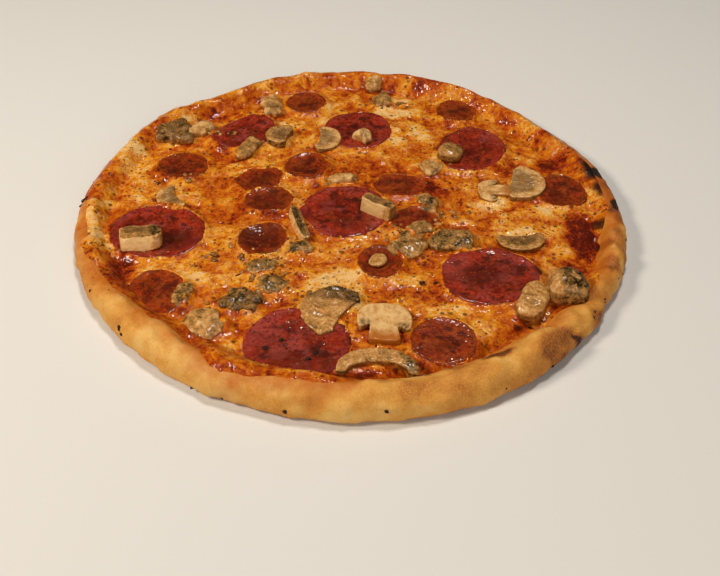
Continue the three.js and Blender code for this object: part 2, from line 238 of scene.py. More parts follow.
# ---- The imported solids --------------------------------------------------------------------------


class Probe:
    """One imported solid, asked for its height and its outline, in mm."""

    def __init__(self, node: str) -> None:
        """Reads the node's mesh.

        Args:
            node: The CAD node's name.
        """
        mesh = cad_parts[node].data
        self.points = np.array([v.co for v in mesh.vertices], dtype=float) / MM
        self.tree = BVHTree.FromPolygons(self.points.tolist(), [tuple(p.vertices) for p in mesh.polygons])

    def top(self, x: float, y: float) -> float:
        """Height of the solid's upper side, or nan beside it."""
        hit = self.tree.ray_cast(Vector((x, y, ABOVE_ALL)), DOWN)[0]
        return hit.z if hit else math.nan

    def reach(self, angle: float, level: float) -> float:
        """Distance from the origin's axis to the solid's outer side at a level."""
        away = Vector((math.cos(math.radians(angle)), math.sin(math.radians(angle)), 0))
        hit = self.tree.ray_cast(away * 400 + Vector((0, 0, level)), -away)[0]
        return math.hypot(hit.x, hit.y)


@dataclass(frozen=True)
class Patch:
    """An oval place with ragged edges, such as a browned spot. Places and sizes in mm."""

    at: tuple[float, float]
    size: tuple[float, float]
    turn: float = 0.0
    strength: float = 1.0

    def weight(self, x: np.ndarray, y: np.ndarray, rag: np.ndarray) -> np.ndarray:
        """How much of the patch each place takes.

        Args:
            x: Places, to the right.
            y: Places, away from the eater.
            rag: Noise that frays the patch's edge.

        Returns:
            From 0 outside to the patch's strength inside.
        """
        c, s = math.cos(math.radians(self.turn)), math.sin(math.radians(self.turn))
        along = ((x - self.at[0]) * c + (y - self.at[1]) * s) / (self.size[0] / 2)
        aside = ((y - self.at[1]) * c - (x - self.at[0]) * s) / (self.size[1] / 2)
        return self.strength * ease(1.35, 0.55, np.hypot(along, aside) + rag)


def painted(patches: list[Patch], x: np.ndarray, y: np.ndarray, rag: np.ndarray) -> np.ndarray:
    """Lays patches over each other, the strongest showing."""
    return np.max([p.weight(x, y, rag) for p in patches], axis=0)


@dataclass(frozen=True)
class Crease:
    """A fold line in the dough, where two lobes of the rim meet. Places and sizes in mm."""

    line: tuple[tuple[float, float], ...]
    width: float
    depth: float

    def shade(self, x: np.ndarray, y: np.ndarray) -> np.ndarray:
        """How far into the fold each place is, from 0 beside it to 1 at its bottom."""
        away = np.full_like(x, 1e3)
        for (ax, ay), (bx, by) in zip(self.line, self.line[1:]):
            length = math.hypot(bx - ax, by - ay)
            ux, uy = (bx - ax) / length, (by - ay) / length
            along = np.clip((x - ax) * ux + (y - ay) * uy, 0, length)
            away = np.minimum(away, np.hypot(x - ax - along * ux, y - ay - along * uy))
        return np.exp(-(away / self.width) ** 2)


class Ground:
    """The dough's upper side and the melt on it, read off the solids once and rid of their facets."""

    rim_span = 42  # how far in from the outer edge the rim is measured, in mm
    belly = 5.0  # height at which the rim is widest
    flat_inside = 110.0  # radius inside which the dough is flat
    cell = 3.0  # distance between the places where the melt's thickness is measured
    folds = (
        Crease(((90, -88), (97, -93), (101, -100), (107, -102), (114, -102)), 2.0, 5.0),
        Crease(((124, -94), (127, -84), (134, -80)), 1.8, 1.6),
        Crease(((-62, -128), (-70, -116), (-76, -112)), 2.6, 1.2),
        Crease(((-100, -104), (-104, -96)), 3.0, 1.0),
        Crease(((140, -52), (132, -50)), 2.2, 1.0),
        Crease(((-140, -20), (-148, -24)), 2.6, 1.3),
        Crease(((-128, -58), (-136, -62)), 2.4, 1.1),
    )
    # How much further out than the cheese solid the glaze reaches, by angle round the pizza, in mm.
    glaze = (
        (-175, 1), (-165, 2), (-155, 3), (-146, 5), (-140, 6), (-135, 5), (-131, 2), (-124, 4), (-119, 7),
        (-113, 12), (-107, 15), (-100, 14), (-95, 9), (-90, 7), (-86, 1), (-79, -5), (-60, -6), (-50, -5),
        (-40, -2), (-30, 1), (-18, -3), (-10, -6), (0, -1), (10, 0), (150, 0), (165, 3),
    )
    thinnest = 0.5  # the glaze where it only wets the dough
    swellings = (
        Patch((112, -88), (30, 15), -38, 2.0),
        Patch((97, -111), (32, 16), 40, 2.2),
        Patch((-88, -112), (26, 14), -48, 0.9),
        Patch((-120, -88), (22, 12), -60, 0.8),
        Patch((-20, -140), (34, 16), 0, 0.7),
        Patch((-144, -8), (14, 18), 0, 1.4),
        Patch((-142, -34), (12, 16), 10, 1.2),
        Patch((-138, 30), (14, 16), 0, 1.2),
        Patch((138, -38), (12, 16), 20, 0.8),
    )

    def __init__(self) -> None:
        """Measures the crust and the cheese nodes."""
        crust = Probe("crust")
        cheese = Probe("cheese")
        turns = np.arange(FULL_TURN)
        self.outer = smooth_along(np.array([crust.reach(t, self.belly) for t in turns]), 2)
        self.profile = np.zeros((FULL_TURN, self.rim_span + 1))
        self.melt_edge = np.zeros(FULL_TURN)
        for t in turns:
            away = np.array([math.cos(math.radians(t)), math.sin(math.radians(t))])
            for depth in range(self.rim_span + 1):
                place = away * (self.outer[t] - depth - 0.01)
                height = crust.top(*place)
                self.profile[t, depth] = self.belly if math.isnan(height) else height
                if not self.melt_edge[t] and not math.isnan(cheese.top(*place)):
                    self.melt_edge[t] = self.outer[t] - depth
        self.profile = smooth_along(self.profile, 2.2)
        self.crest = smooth_along(np.argmax(self.profile[:, :20], axis=1).astype(float), 3)
        self.melt_edge = smooth_along(self.melt_edge, 2)
        self.thickness = self._measure_melt(crust, cheese)

    def _measure_melt(self, crust: Probe, cheese: Probe) -> np.ndarray:
        """Thickness of the melt on a square grid, with the slices' pockets filled from around them."""
        line = np.arange(-165, 166, self.cell)
        found = np.zeros((len(line), len(line)))
        thickness = np.zeros_like(found)
        least_over_flat = 2.8
        for i, x in enumerate(line):
            for j, y in enumerate(line):
                melt, dough = cheese.top(x, y), crust.top(x, y)
                over_flat = math.hypot(x, y) < self.flat_inside
                if melt - dough > (least_over_flat if over_flat else 0.5):
                    found[i, j] = 1
                    thickness[i, j] = melt - dough
        for axis in (0, 1):
            thickness = smooth_along(thickness, 1.6, axis)
            found = smooth_along(found, 1.6, axis)
        return thickness / np.maximum(found, 0.02)

    def outer_at(self, angle: np.ndarray) -> np.ndarray:
        """Outer radius of the rim at angles in degrees."""
        return np.interp(angle, np.arange(FULL_TURN), self.outer, period=FULL_TURN)

    def crest_at(self, angle: np.ndarray) -> np.ndarray:
        """How far the rim's highest line lies in from the outer edge."""
        return np.interp(angle, np.arange(FULL_TURN), self.crest, period=FULL_TURN)

    def melt_edge_at(self, angle: np.ndarray) -> np.ndarray:
        """Radius at which the melt ends."""
        further = np.interp(angle, *np.transpose(self.glaze), period=FULL_TURN)
        return np.interp(angle, np.arange(FULL_TURN), self.melt_edge, period=FULL_TURN) + further

    def height_from_edge(self, angle: np.ndarray, depth: np.ndarray) -> np.ndarray:
        """Height of the dough's upper side, at a distance in from the outer edge."""
        crest = self.crest_at(angle)
        turn = np.mod(angle, FULL_TURN)
        inner = sample_table(self.profile, turn, np.maximum(depth, crest))
        at_crest = sample_table(self.profile, turn, crest)
        fall = np.clip(1 - depth / crest, 0, 1)
        outside = self.belly + (at_crest - self.belly) * np.sqrt(1 - fall ** 2)
        return np.where(depth < crest, outside, inner)

    def lumps(self, x: np.ndarray, y: np.ndarray, depth: np.ndarray) -> np.ndarray:
        """Unevenness of hand-pulled dough: wide lumps with smaller ones on them, only on the rim."""
        places = flat(x, y)
        wide = 1.6 * lattice_noise(places, 25, 3)
        narrow = 0.8 * lattice_noise(places, 10, 4)
        lift = sum(p.weight(x, y, 0.25 * narrow) for p in self.swellings)
        dips = sum(fold.depth * fold.shade(x, y) for fold in self.folds)
        return ((wide + narrow + lift) * ease(34, 16, depth) - dips) * ease(-1, 5, depth)

    def dough_top(self, x: np.ndarray, y: np.ndarray) -> np.ndarray:
        """Height of the dough's upper side."""
        angle = np.degrees(np.arctan2(y, x))
        depth = self.outer_at(angle) - np.hypot(x, y)
        return self.height_from_edge(angle, depth) + self.lumps(x, y, depth)

    def melt_thickness(self, x: np.ndarray, y: np.ndarray) -> np.ndarray:
        """Thickness of the melt, before its own relief."""
        measured = sample_table(self.thickness, (x + 165) / self.cell, (y + 165) / self.cell)
        return np.maximum(measured, self.thinnest)

    def melt_top(self, x: np.ndarray, y: np.ndarray) -> np.ndarray:
        """Height of the melt's upper side, before its own relief."""
        return self.dough_top(x, y) + self.melt_thickness(x, y)


# ---- Finishes -----------------------------------------------------------------------------------


class Graph:
    """The node tree of one material."""

    def __init__(self, name: str) -> None:
        """Starts a material with nothing but its output."""
        self.material = bpy.data.materials.new(name)
        self.material.use_nodes = True
        self.tree = self.material.node_tree
        self.tree.nodes.clear()

    def add(self, kind: str, inputs: dict | None = None, **settings: object) -> bpy.types.Node:
        """Adds a node.

        Args:
            kind: The node's type without its "ShaderNode".
            inputs: Values or other nodes' outputs, by the input's name or number.
            settings: The node's own settings. stops are a colour ramp's places and colours.

        Returns:
            The new node.
        """
        node = self.tree.nodes.new("ShaderNode" + kind)
        for key, value in settings.items():
            if key == "stops":
                ramp = node.color_ramp
                while len(ramp.elements) < len(value):
                    ramp.elements.new(1.0)
                for element, (place, colour) in zip(ramp.elements, value):
                    element.position = place
                    element.color = srgb(colour)
            else:
                setattr(node, key, value)
        for key, value in (inputs or {}).items():
            if isinstance(value, bpy.types.NodeSocket):
                self.tree.links.new(value, node.inputs[key])
            else:
                node.inputs[key].default_value = value
        return node


MIX_FACTOR, MIX_A, MIX_B, MIX_RESULT = 0, 6, 7, 2  # sockets of a Mix node set to colours


@dataclass(frozen=True)
class BakedDough:
    """Wheat dough baked on a hot stone: dry and matt, pale gold, mottled brown where it blistered."""

    raw: str = "#E4BC70"
    gold: str = "#D1933E"
    tan: str = "#B6722B"
    brown: str = "#87491C"
    dark: str = "#42220D"
    char: str = "#1A110C"
    stain: str = "#B45C0C"  # orange oil that soaked in from the melt
    grain: float = 0.8  # width of the browned grains in mm, coarser than real ones so that they show
    pore: float = 0.45

    def material(self) -> bpy.types.Material:
        """Builds the material. It reads how far each place is baked, 0 raw to 1 burnt with painted shade along the
        folds, and how far oil stained it, from the mesh.
        """
        g = Graph("wheat_dough_stone_baked")
        place = g.add("TexCoord").outputs["Object"]
        bake = g.add("Attribute", attribute_name="bake").outputs["Fac"]
        stain = g.add("Attribute", attribute_name="stain").outputs["Fac"]
        grain = g.add("TexNoise", {"Vector": place, "Scale": per_mm(self.grain), "Detail": 3.0})
        mottle = g.add("TexNoise", {"Vector": place, "Scale": per_mm(6), "Detail": 4.0, "Roughness": 0.6})
        pore = g.add("TexNoise", {"Vector": place, "Scale": per_mm(self.pore), "Detail": 2.0})
        # Grain shows more where the crust is browner.
        strength = g.add("Math", {0: bake, 1: 1.0, 2: 0.1}, operation="MULTIPLY_ADD").outputs[0]
        centred = g.add("Math", {0: grain.outputs["Fac"], 1: 0.5}, operation="SUBTRACT").outputs[0]
        grained = g.add("Math", {0: centred, 1: strength, 2: bake}, operation="MULTIPLY_ADD").outputs[0]
        drift = g.add("Math", {0: mottle.outputs["Fac"], 1: 0.5}, operation="SUBTRACT").outputs[0]
        level = g.add("Math", {0: drift, 1: 0.22, 2: grained}, operation="MULTIPLY_ADD").outputs[0]
        ramp = g.add("ValToRGB", {"Fac": level}, stops=[
            (0.0, self.raw), (0.28, self.gold), (0.5, self.tan), (0.7, self.brown), (0.86, self.dark),
            (1.0, self.char),
        ])
        patchy = g.add("Math", {0: mottle.outputs["Fac"], 1: 1.6, 2: 0.05}, operation="MULTIPLY_ADD")
        soaked = g.add("Math", {0: patchy.outputs[0], 1: stain}, operation="MULTIPLY", use_clamp=True)
        colour = g.add("Mix", {
            MIX_FACTOR: soaked.outputs[0], MIX_A: ramp.outputs["Color"], MIX_B: srgb(self.stain),
        }, data_type="RGBA", blend_type="MIX")
        rough = g.add("Math", {0: soaked.outputs[0], 1: -0.3, 2: 0.68}, operation="MULTIPLY_ADD")
        relief = g.add("Math", {0: grain.outputs["Fac"], 1: pore.outputs["Fac"]}, operation="ADD")
        bump = g.add("Bump", {"Height": relief.outputs[0], "Strength": 0.6, "Distance": 0.35 * MM})
        shader = g.add("BsdfPrincipled", {
            "Base Color": colour.outputs[MIX_RESULT], "Roughness": rough.outputs[0], "IOR": 1.45,
            "Specular IOR Level": 0.3, "Normal": bump.outputs["Normal"],
        })
        g.add("OutputMaterial", {"Surface": shader.outputs["BSDF"]})
        return g.material


@dataclass(frozen=True)
class MeltedCheese:
    """Mozzarella melted into tomato sauce and its own orange oil: wet gloss, curds over a deep red."""

    sauce: str = "#541203"
    red: str = "#862704"
    orange: str = "#AE4C06"
    amber: str = "#C66E08"
    yellow: str = "#D9921C"
    cream: str = "#E2B672"
    wisp: str = "#DDB184"  # milky lines where the curds drew apart
    toast: str = "#4A1405"
    char: str = "#1A0D08"
    curd: float = 3.6  # width of a strand of grated cheese in mm
    fleck: float = 2.6  # distance between chilli and toast flecks in mm

    def material(self) -> bpy.types.Material:
        """Builds the material. It reads milk, 0 sauce to 1 cheese, toast and char from the mesh."""
        g = Graph("mozzarella_melted_in_sauce")
        place = g.add("TexCoord").outputs["Object"]
        milk = g.add("Attribute", attribute_name="milk").outputs["Fac"]
        toast = g.add("Attribute", attribute_name="toast").outputs["Fac"]
        char = g.add("Attribute", attribute_name="char").outputs["Fac"]
        strand = g.add("TexNoise", {
            "Vector": place, "Scale": per_mm(self.curd), "Detail": 6.0, "Roughness": 0.68, "Distortion": 0.5,
        })
        fine = g.add("TexNoise", {"Vector": place, "Scale": per_mm(1.1), "Detail": 3.0, "Roughness": 0.6})
        drift = g.add("Math", {0: strand.outputs["Fac"], 1: 0.5}, operation="SUBTRACT").outputs[0]
        level = g.add("Math", {0: drift, 1: 1.5, 2: milk}, operation="MULTIPLY_ADD").outputs[0]
        speck = g.add("Math", {0: fine.outputs["Fac"], 1: 0.5}, operation="SUBTRACT").outputs[0]
        level = g.add("Math", {0: speck, 1: 0.4, 2: level}, operation="MULTIPLY_ADD").outputs[0]
        ramp = g.add("ValToRGB", {"Fac": level}, stops=[
            (0.0, self.sauce), (0.16, self.red), (0.36, self.orange), (0.56, self.amber),
            (0.78, self.yellow), (1.0, self.cream),
        ])
        line = g.add("TexNoise", {
            "Vector": place, "Scale": per_mm(7.5), "Detail": 3.0, "Roughness": 0.5, "Distortion": 1.6,
        })
        from_line = g.add("Math", {0: line.outputs["Fac"], 1: 0.5}, operation="SUBTRACT").outputs[0]
        from_line = g.add("Math", {0: from_line}, operation="ABSOLUTE").outputs[0]
        wisp = g.add("MapRange", {"Value": from_line, "From Min": 0.035, "From Max": 0.004}).outputs["Result"]
        milky = g.add("MapRange", {"Value": milk, "From Min": 0.42, "From Max": 0.8, "To Max": 0.7}
                      ).outputs["Result"]
        wisp = g.add("Math", {0: wisp, 1: milky}, operation="MULTIPLY").outputs[0]
        base = g.add("Mix", {
            MIX_FACTOR: wisp, MIX_A: ramp.outputs["Color"], MIX_B: srgb(self.wisp),
        }, data_type="RGBA", blend_type="MIX").outputs[MIX_RESULT]
        flecks = []
        for spacing, likelihood in ((self.fleck * 1.5, 9.0), (self.fleck, 8.0), (self.fleck * 0.55, 5.0)):
            spot = g.add("TexVoronoi", {"Vector": place, "Scale": per_mm(spacing), "Randomness": 1.0})
            chance = g.add("SeparateColor", {"Color": spot.outputs["Color"]}).outputs["Red"]
            # A cell holds a fleck if its own random value is below the toast level.
            chosen = g.add("Math", {0: toast, 1: chance}, operation="SUBTRACT").outputs[0]
            chosen = g.add("Math", {0: chosen, 1: likelihood}, operation="MULTIPLY", use_clamp=True).outputs[0]
            near = g.add("MapRange", {
                "Value": spot.outputs["Distance"], "From Min": 0.44, "From Max": 0.2, "To Min": 0.0, "To Max": 1.0,
            }, interpolation_type="SMOOTHSTEP").outputs["Result"]
            flecks.append(g.add("Math", {0: near, 1: chosen}, operation="MULTIPLY").outputs[0])
        flecked = g.add("Math", {0: flecks[0], 1: flecks[1]}, operation="MAXIMUM").outputs[0]
        flecked = g.add("Math", {0: flecked, 1: flecks[2]}, operation="MAXIMUM").outputs[0]
        scorch = g.add("MapRange", {"Value": toast, "From Min": 0.72, "From Max": 1.0}).outputs["Result"]
        browned = g.add("Math", {0: flecked, 1: scorch}, operation="MAXIMUM").outputs[0]
        browned = g.add("Math", {0: browned, 1: 0.8}, operation="MULTIPLY").outputs[0]
        colour = g.add("Mix", {
            MIX_FACTOR: browned, MIX_A: base, MIX_B: srgb(self.toast),
        }, data_type="RGBA", blend_type="MIX")
        colour = g.add("Mix", {
            MIX_FACTOR: char, MIX_A: colour.outputs[MIX_RESULT], MIX_B: srgb(self.char),
        }, data_type="RGBA", blend_type="MIX")
        # Cheese curds are duller than the oil between them.
        gloss = g.add("MapRange", {
            "Value": level, "From Min": 0.2, "From Max": 0.9, "To Min": 0.4, "To Max": 0.6,
        }).outputs["Result"]
        ripple = g.add("TexNoise", {"Vector": place, "Scale": per_mm(2.6), "Detail": 1.5, "Roughness": 0.4})
        bump = g.add("Bump", {"Height": ripple.outputs["Fac"], "Strength": 0.7, "Distance": 0.9 * MM})
        shader = g.add("BsdfPrincipled", {
            "Base Color": colour.outputs[MIX_RESULT], "Roughness": gloss, "IOR": 1.46,
            "Specular IOR Level": 0.1, "Normal": bump.outputs["Normal"], "Subsurface Weight": 0.08,
            "Subsurface Radius": (1, 0.4, 0.1), "Subsurface Scale": 1.2 * MM, "Coat Weight": 0.4,
            "Coat Roughness": 0.05, "Coat IOR": 1.45, "Coat Normal": bump.outputs["Normal"],
        })
        g.add("OutputMaterial", {"Surface": shader.outputs["BSDF"]})
        return g.material


@dataclass(frozen=True)
class CuredSalami:
    """Cured pork sausage, sliced and baked until its fat ran: red meat under a film of oil."""

    name: str
    meat: str
    middle: str
    rim: str
    fat: str
    # the pink of a painted reflection: the lamps' sheen on the oily meat
    blush: str
    roast: str
    pepper: str = "#280802"
    crumb: float = 2.0  # width of the minced meat's grains in mm
    roughness: float = 0.42

    def material(self) -> bpy.types.Material:
        """Builds the material. It reads edge, 0 middle to 1 edge, and burn from the mesh."""
        g = Graph(self.name)
        place = g.add("TexCoord").outputs["Object"]
        edge = g.add("Attribute", attribute_name="edge").outputs["Fac"]
        burn = g.add("Attribute", attribute_name="burn").outputs["Fac"]
        blush = g.add("Attribute", attribute_name="blush").outputs["Fac"]
        crumb = g.add("TexNoise", {"Vector": place, "Scale": per_mm(self.crumb), "Detail": 4.0, "Roughness": 0.6})
        cloud = g.add("TexNoise", {"Vector": place, "Scale": per_mm(11), "Detail": 3.0})
        skin = g.add("TexNoise", {"Vector": place, "Scale": per_mm(2.0), "Detail": 1.5, "Roughness": 0.4})
        browned = g.add("TexNoise", {"Vector": place, "Scale": per_mm(6.5), "Detail": 4.0, "Distortion": 0.6})
        grain = g.add("TexVoronoi", {"Vector": place, "Scale": per_mm(2.2), "Randomness": 1.0})
        chance = g.add("SeparateColor", {"Color": grain.outputs["Color"]}).outputs["Green"]
        rimmed = g.add("MapRange", {"Value": edge, "From Min": 0.5, "From Max": 1.0}).outputs["Result"]
        drift = g.add("Math", {0: cloud.outputs["Fac"], 1: 0.5}, operation="SUBTRACT").outputs[0]
        rimmed = g.add("Math", {0: drift, 1: 1.4, 2: rimmed}, operation="MULTIPLY_ADD").outputs[0]
        tone = g.add("ValToRGB", {"Fac": rimmed}, stops=[(0.0, self.middle), (0.45, self.meat), (1.0, self.rim)])
        roasted = g.add("MapRange", {"Value": browned.outputs["Fac"], "From Min": 0.48, "From Max": 0.66,
                                     "To Min": 0.0, "To Max": 0.75}).outputs["Result"]
        tone = g.add("Mix", {MIX_FACTOR: roasted, MIX_A: tone.outputs["Color"], MIX_B: srgb(self.roast)},
                     data_type="RGBA", blend_type="MIX").outputs[MIX_RESULT]
        pale = g.add("MapRange", {"Value": crumb.outputs["Fac"], "From Min": 0.53, "From Max": 0.72,
                                  "To Min": 0.0, "To Max": 0.5}).outputs["Result"]
        colour = g.add("Mix", {MIX_FACTOR: pale, MIX_A: tone, MIX_B: srgb(self.fat)},
                       data_type="RGBA", blend_type="MIX").outputs[MIX_RESULT]
        # Painted reflection: pinkish places stand in for the lamps' sheen on the oily meat.
        colour = g.add("Mix", {MIX_FACTOR: blush, MIX_A: colour, MIX_B: srgb(self.blush)},
                       data_type="RGBA", blend_type="MIX").outputs[MIX_RESULT]
        dark = g.add("MapRange", {"Value": grain.outputs["Distance"], "From Min": 0.4, "From Max": 0.16}
                     ).outputs["Result"]
        few = g.add("MapRange", {"Value": chance, "From Min": 0.62, "From Max": 0.72}).outputs["Result"]
        dark = g.add("Math", {0: dark, 1: few}, operation="MULTIPLY").outputs[0]
        for cloudy, start, most in ((crumb, 0.49, 0.85), (cloud, 0.5, 0.55)):
            dusk = g.add("MapRange", {"Value": cloudy.outputs["Fac"], "From Min": start, "From Max": start - 0.17,
                                      "To Min": 0.0, "To Max": most}).outputs["Result"]
            dark = g.add("Math", {0: dark, 1: dusk}, operation="MAXIMUM").outputs[0]
        dark = g.add("Math", {0: dark, 1: burn}, operation="MAXIMUM", use_clamp=True).outputs[0]
        dark = g.add("Math", {0: dark, 1: 0.85}, operation="MULTIPLY").outputs[0]
        colour = g.add("Mix", {MIX_FACTOR: dark, MIX_A: colour, MIX_B: srgb(self.pepper)},
                       data_type="RGBA", blend_type="MIX").outputs[MIX_RESULT]
        rough = g.add("MapRange", {"Value": cloud.outputs["Fac"], "From Min": 0.3, "From Max": 0.7,
                                   "To Min": self.roughness - 0.08, "To Max": self.roughness + 0.1})
        bump = g.add("Bump", {"Height": skin.outputs["Fac"], "Strength": 0.6, "Distance": 0.6 * MM})
        shader = g.add("BsdfPrincipled", {
            "Base Color": colour, "Roughness": rough.outputs["Result"], "IOR": 1.42,
            "Specular IOR Level": 0.12, "Normal": bump.outputs["Normal"], "Coat Weight": 0.6,
            "Coat Roughness": 0.05, "Coat IOR": 1.45, "Coat Normal": bump.outputs["Normal"],
        })
        g.add("OutputMaterial", {"Surface": shader.outputs["BSDF"]})
        return g.material


@dataclass(frozen=True)
class CookedChampignon:
    """White mushrooms cut raw and cooked in brine: waxy cream flesh, dark gills, orange where oil soaked in."""

    name: str = "champignon_cooked"
    cream: str = "#DEB478"
    buff: str = "#B47E40"
    grey: str = "#8C6634"
    olive: str = "#5E4420"
    dark: str = "#2A1A0C"
    gill: str = "#2A190D"
    oil: str = "#A85A0C"
    fibre: float = 1.2

    def material(self) -> bpy.types.Material:
        """Builds the material. It reads tone, 0 cream to 1 dark, which also holds painted shade and highlights, gill
        and oil from the mesh.
        """
        g = Graph(self.name)
        place = g.add("TexCoord").outputs["Object"]
        tone = g.add("Attribute", attribute_name="tone").outputs["Fac"]
        gill = g.add("Attribute", attribute_name="gill").outputs["Fac"]
        oil = g.add("Attribute", attribute_name="oil").outputs["Fac"]
        mottle = g.add("TexNoise", {"Vector": place, "Scale": per_mm(3.2), "Detail": 4.0, "Roughness": 0.62})
        fibre = g.add("TexNoise", {"Vector": place, "Scale": per_mm(self.fibre), "Detail": 3.0})
        drift = g.add("Math", {0: mottle.outputs["Fac"], 1: 0.5}, operation="SUBTRACT").outputs[0]
        # Pale flesh is even, and the darker a place is, the more mottled it is.
        uneven = g.add("Math", {0: tone, 1: 1.8, 2: 0.25}, operation="MULTIPLY_ADD").outputs[0]
        level = g.add("Math", {0: drift, 1: uneven, 2: tone}, operation="MULTIPLY_ADD").outputs[0]
        speck = g.add("Math", {0: fibre.outputs["Fac"], 1: 0.5}, operation="SUBTRACT").outputs[0]
        level = g.add("Math", {0: speck, 1: uneven, 2: level}, operation="MULTIPLY_ADD").outputs[0]
        ramp = g.add("ValToRGB", {"Fac": level}, stops=[
            (0.0, self.cream), (0.3, self.buff), (0.55, self.grey), (0.78, self.olive), (1.0, self.dark),
        ])
        colour = g.add("Mix", {MIX_FACTOR: gill, MIX_A: ramp.outputs["Color"], MIX_B: srgb(self.gill)},
                       data_type="RGBA", blend_type="MIX").outputs[MIX_RESULT]
        colour = g.add("Mix", {MIX_FACTOR: oil, MIX_A: colour, MIX_B: srgb(self.oil)},
                       data_type="RGBA", blend_type="MIX").outputs[MIX_RESULT]
        rough = g.add("MapRange", {"Value": tone, "To Min": 0.46, "To Max": 0.26}).outputs["Result"]
        bump = g.add("Bump", {"Height": fibre.outputs["Fac"], "Strength": 0.6, "Distance": 0.4 * MM})
        shader = g.add("BsdfPrincipled", {
            "Base Color": colour, "Roughness": rough, "IOR": 1.42, "Normal": bump.outputs["Normal"],
            "Subsurface Weight": 0.08, "Subsurface Radius": (1, 0.6, 0.3), "Subsurface Scale": 0.8 * MM,
            "Specular IOR Level": 0.15, "Coat Weight": 0.4, "Coat Roughness": 0.08, "Coat IOR": 1.4,
        })
        g.add("OutputMaterial", {"Surface": shader.outputs["BSDF"]})
        return g.material


@dataclass(frozen=True)
class CharredFleck:
    """Crushed pepper, dried chilli or burnt flour: dark, dry and crumbly."""

    name: str = "pepper_and_char"
    colour: str = "#1E130D"
    warm: str = "#4A2412"
    roughness: float = 0.5

    def material(self) -> bpy.types.Material:
        """Builds the material."""
        g = Graph(self.name)
        place = g.add("TexCoord").outputs["Object"]
        grain = g.add("TexNoise", {"Vector": place, "Scale": per_mm(0.8), "Detail": 3.0})
        ramp = g.add("ValToRGB", {"Fac": grain.outputs["Fac"]}, stops=[(0.42, self.colour), (0.7, self.warm)])
        bump = g.add("Bump", {"Height": grain.outputs["Fac"], "Strength": 0.6, "Distance": 0.2 * MM})
        shader = g.add("BsdfPrincipled", {
            "Base Color": ramp.outputs["Color"], "Roughness": self.roughness, "Specular IOR Level": 0.15,
            "Normal": bump.outputs["Normal"],
        })
        g.add("OutputMaterial", {"Surface": shader.outputs["BSDF"]})
        return g.material


@dataclass(frozen=True)
class CookingOil:
    """Olive oil stained by the salami: clear orange beads with a sharp glint."""

    colour: str = "#B0560C"
    deep: str = "#7A2C06"

    def material(self) -> bpy.types.Material:
        """Builds the material."""
        g = Graph("olive_oil_stained")
        place = g.add("TexCoord").outputs["Object"]
        drift = g.add("TexNoise", {"Vector": place, "Scale": per_mm(9), "Detail": 2.0})
        ramp = g.add("ValToRGB", {"Fac": drift.outputs["Fac"]}, stops=[(0.4, self.deep), (0.6, self.colour)])
        shader = g.add("BsdfPrincipled", {
            "Base Color": ramp.outputs["Color"], "Roughness": 0.06, "IOR": 1.46, "Transmission Weight": 0.6,
        })
        g.add("OutputMaterial", {"Surface": shader.outputs["BSDF"]})
        return g.material


# ---- Crust --------------------------------------------------------------------------------------


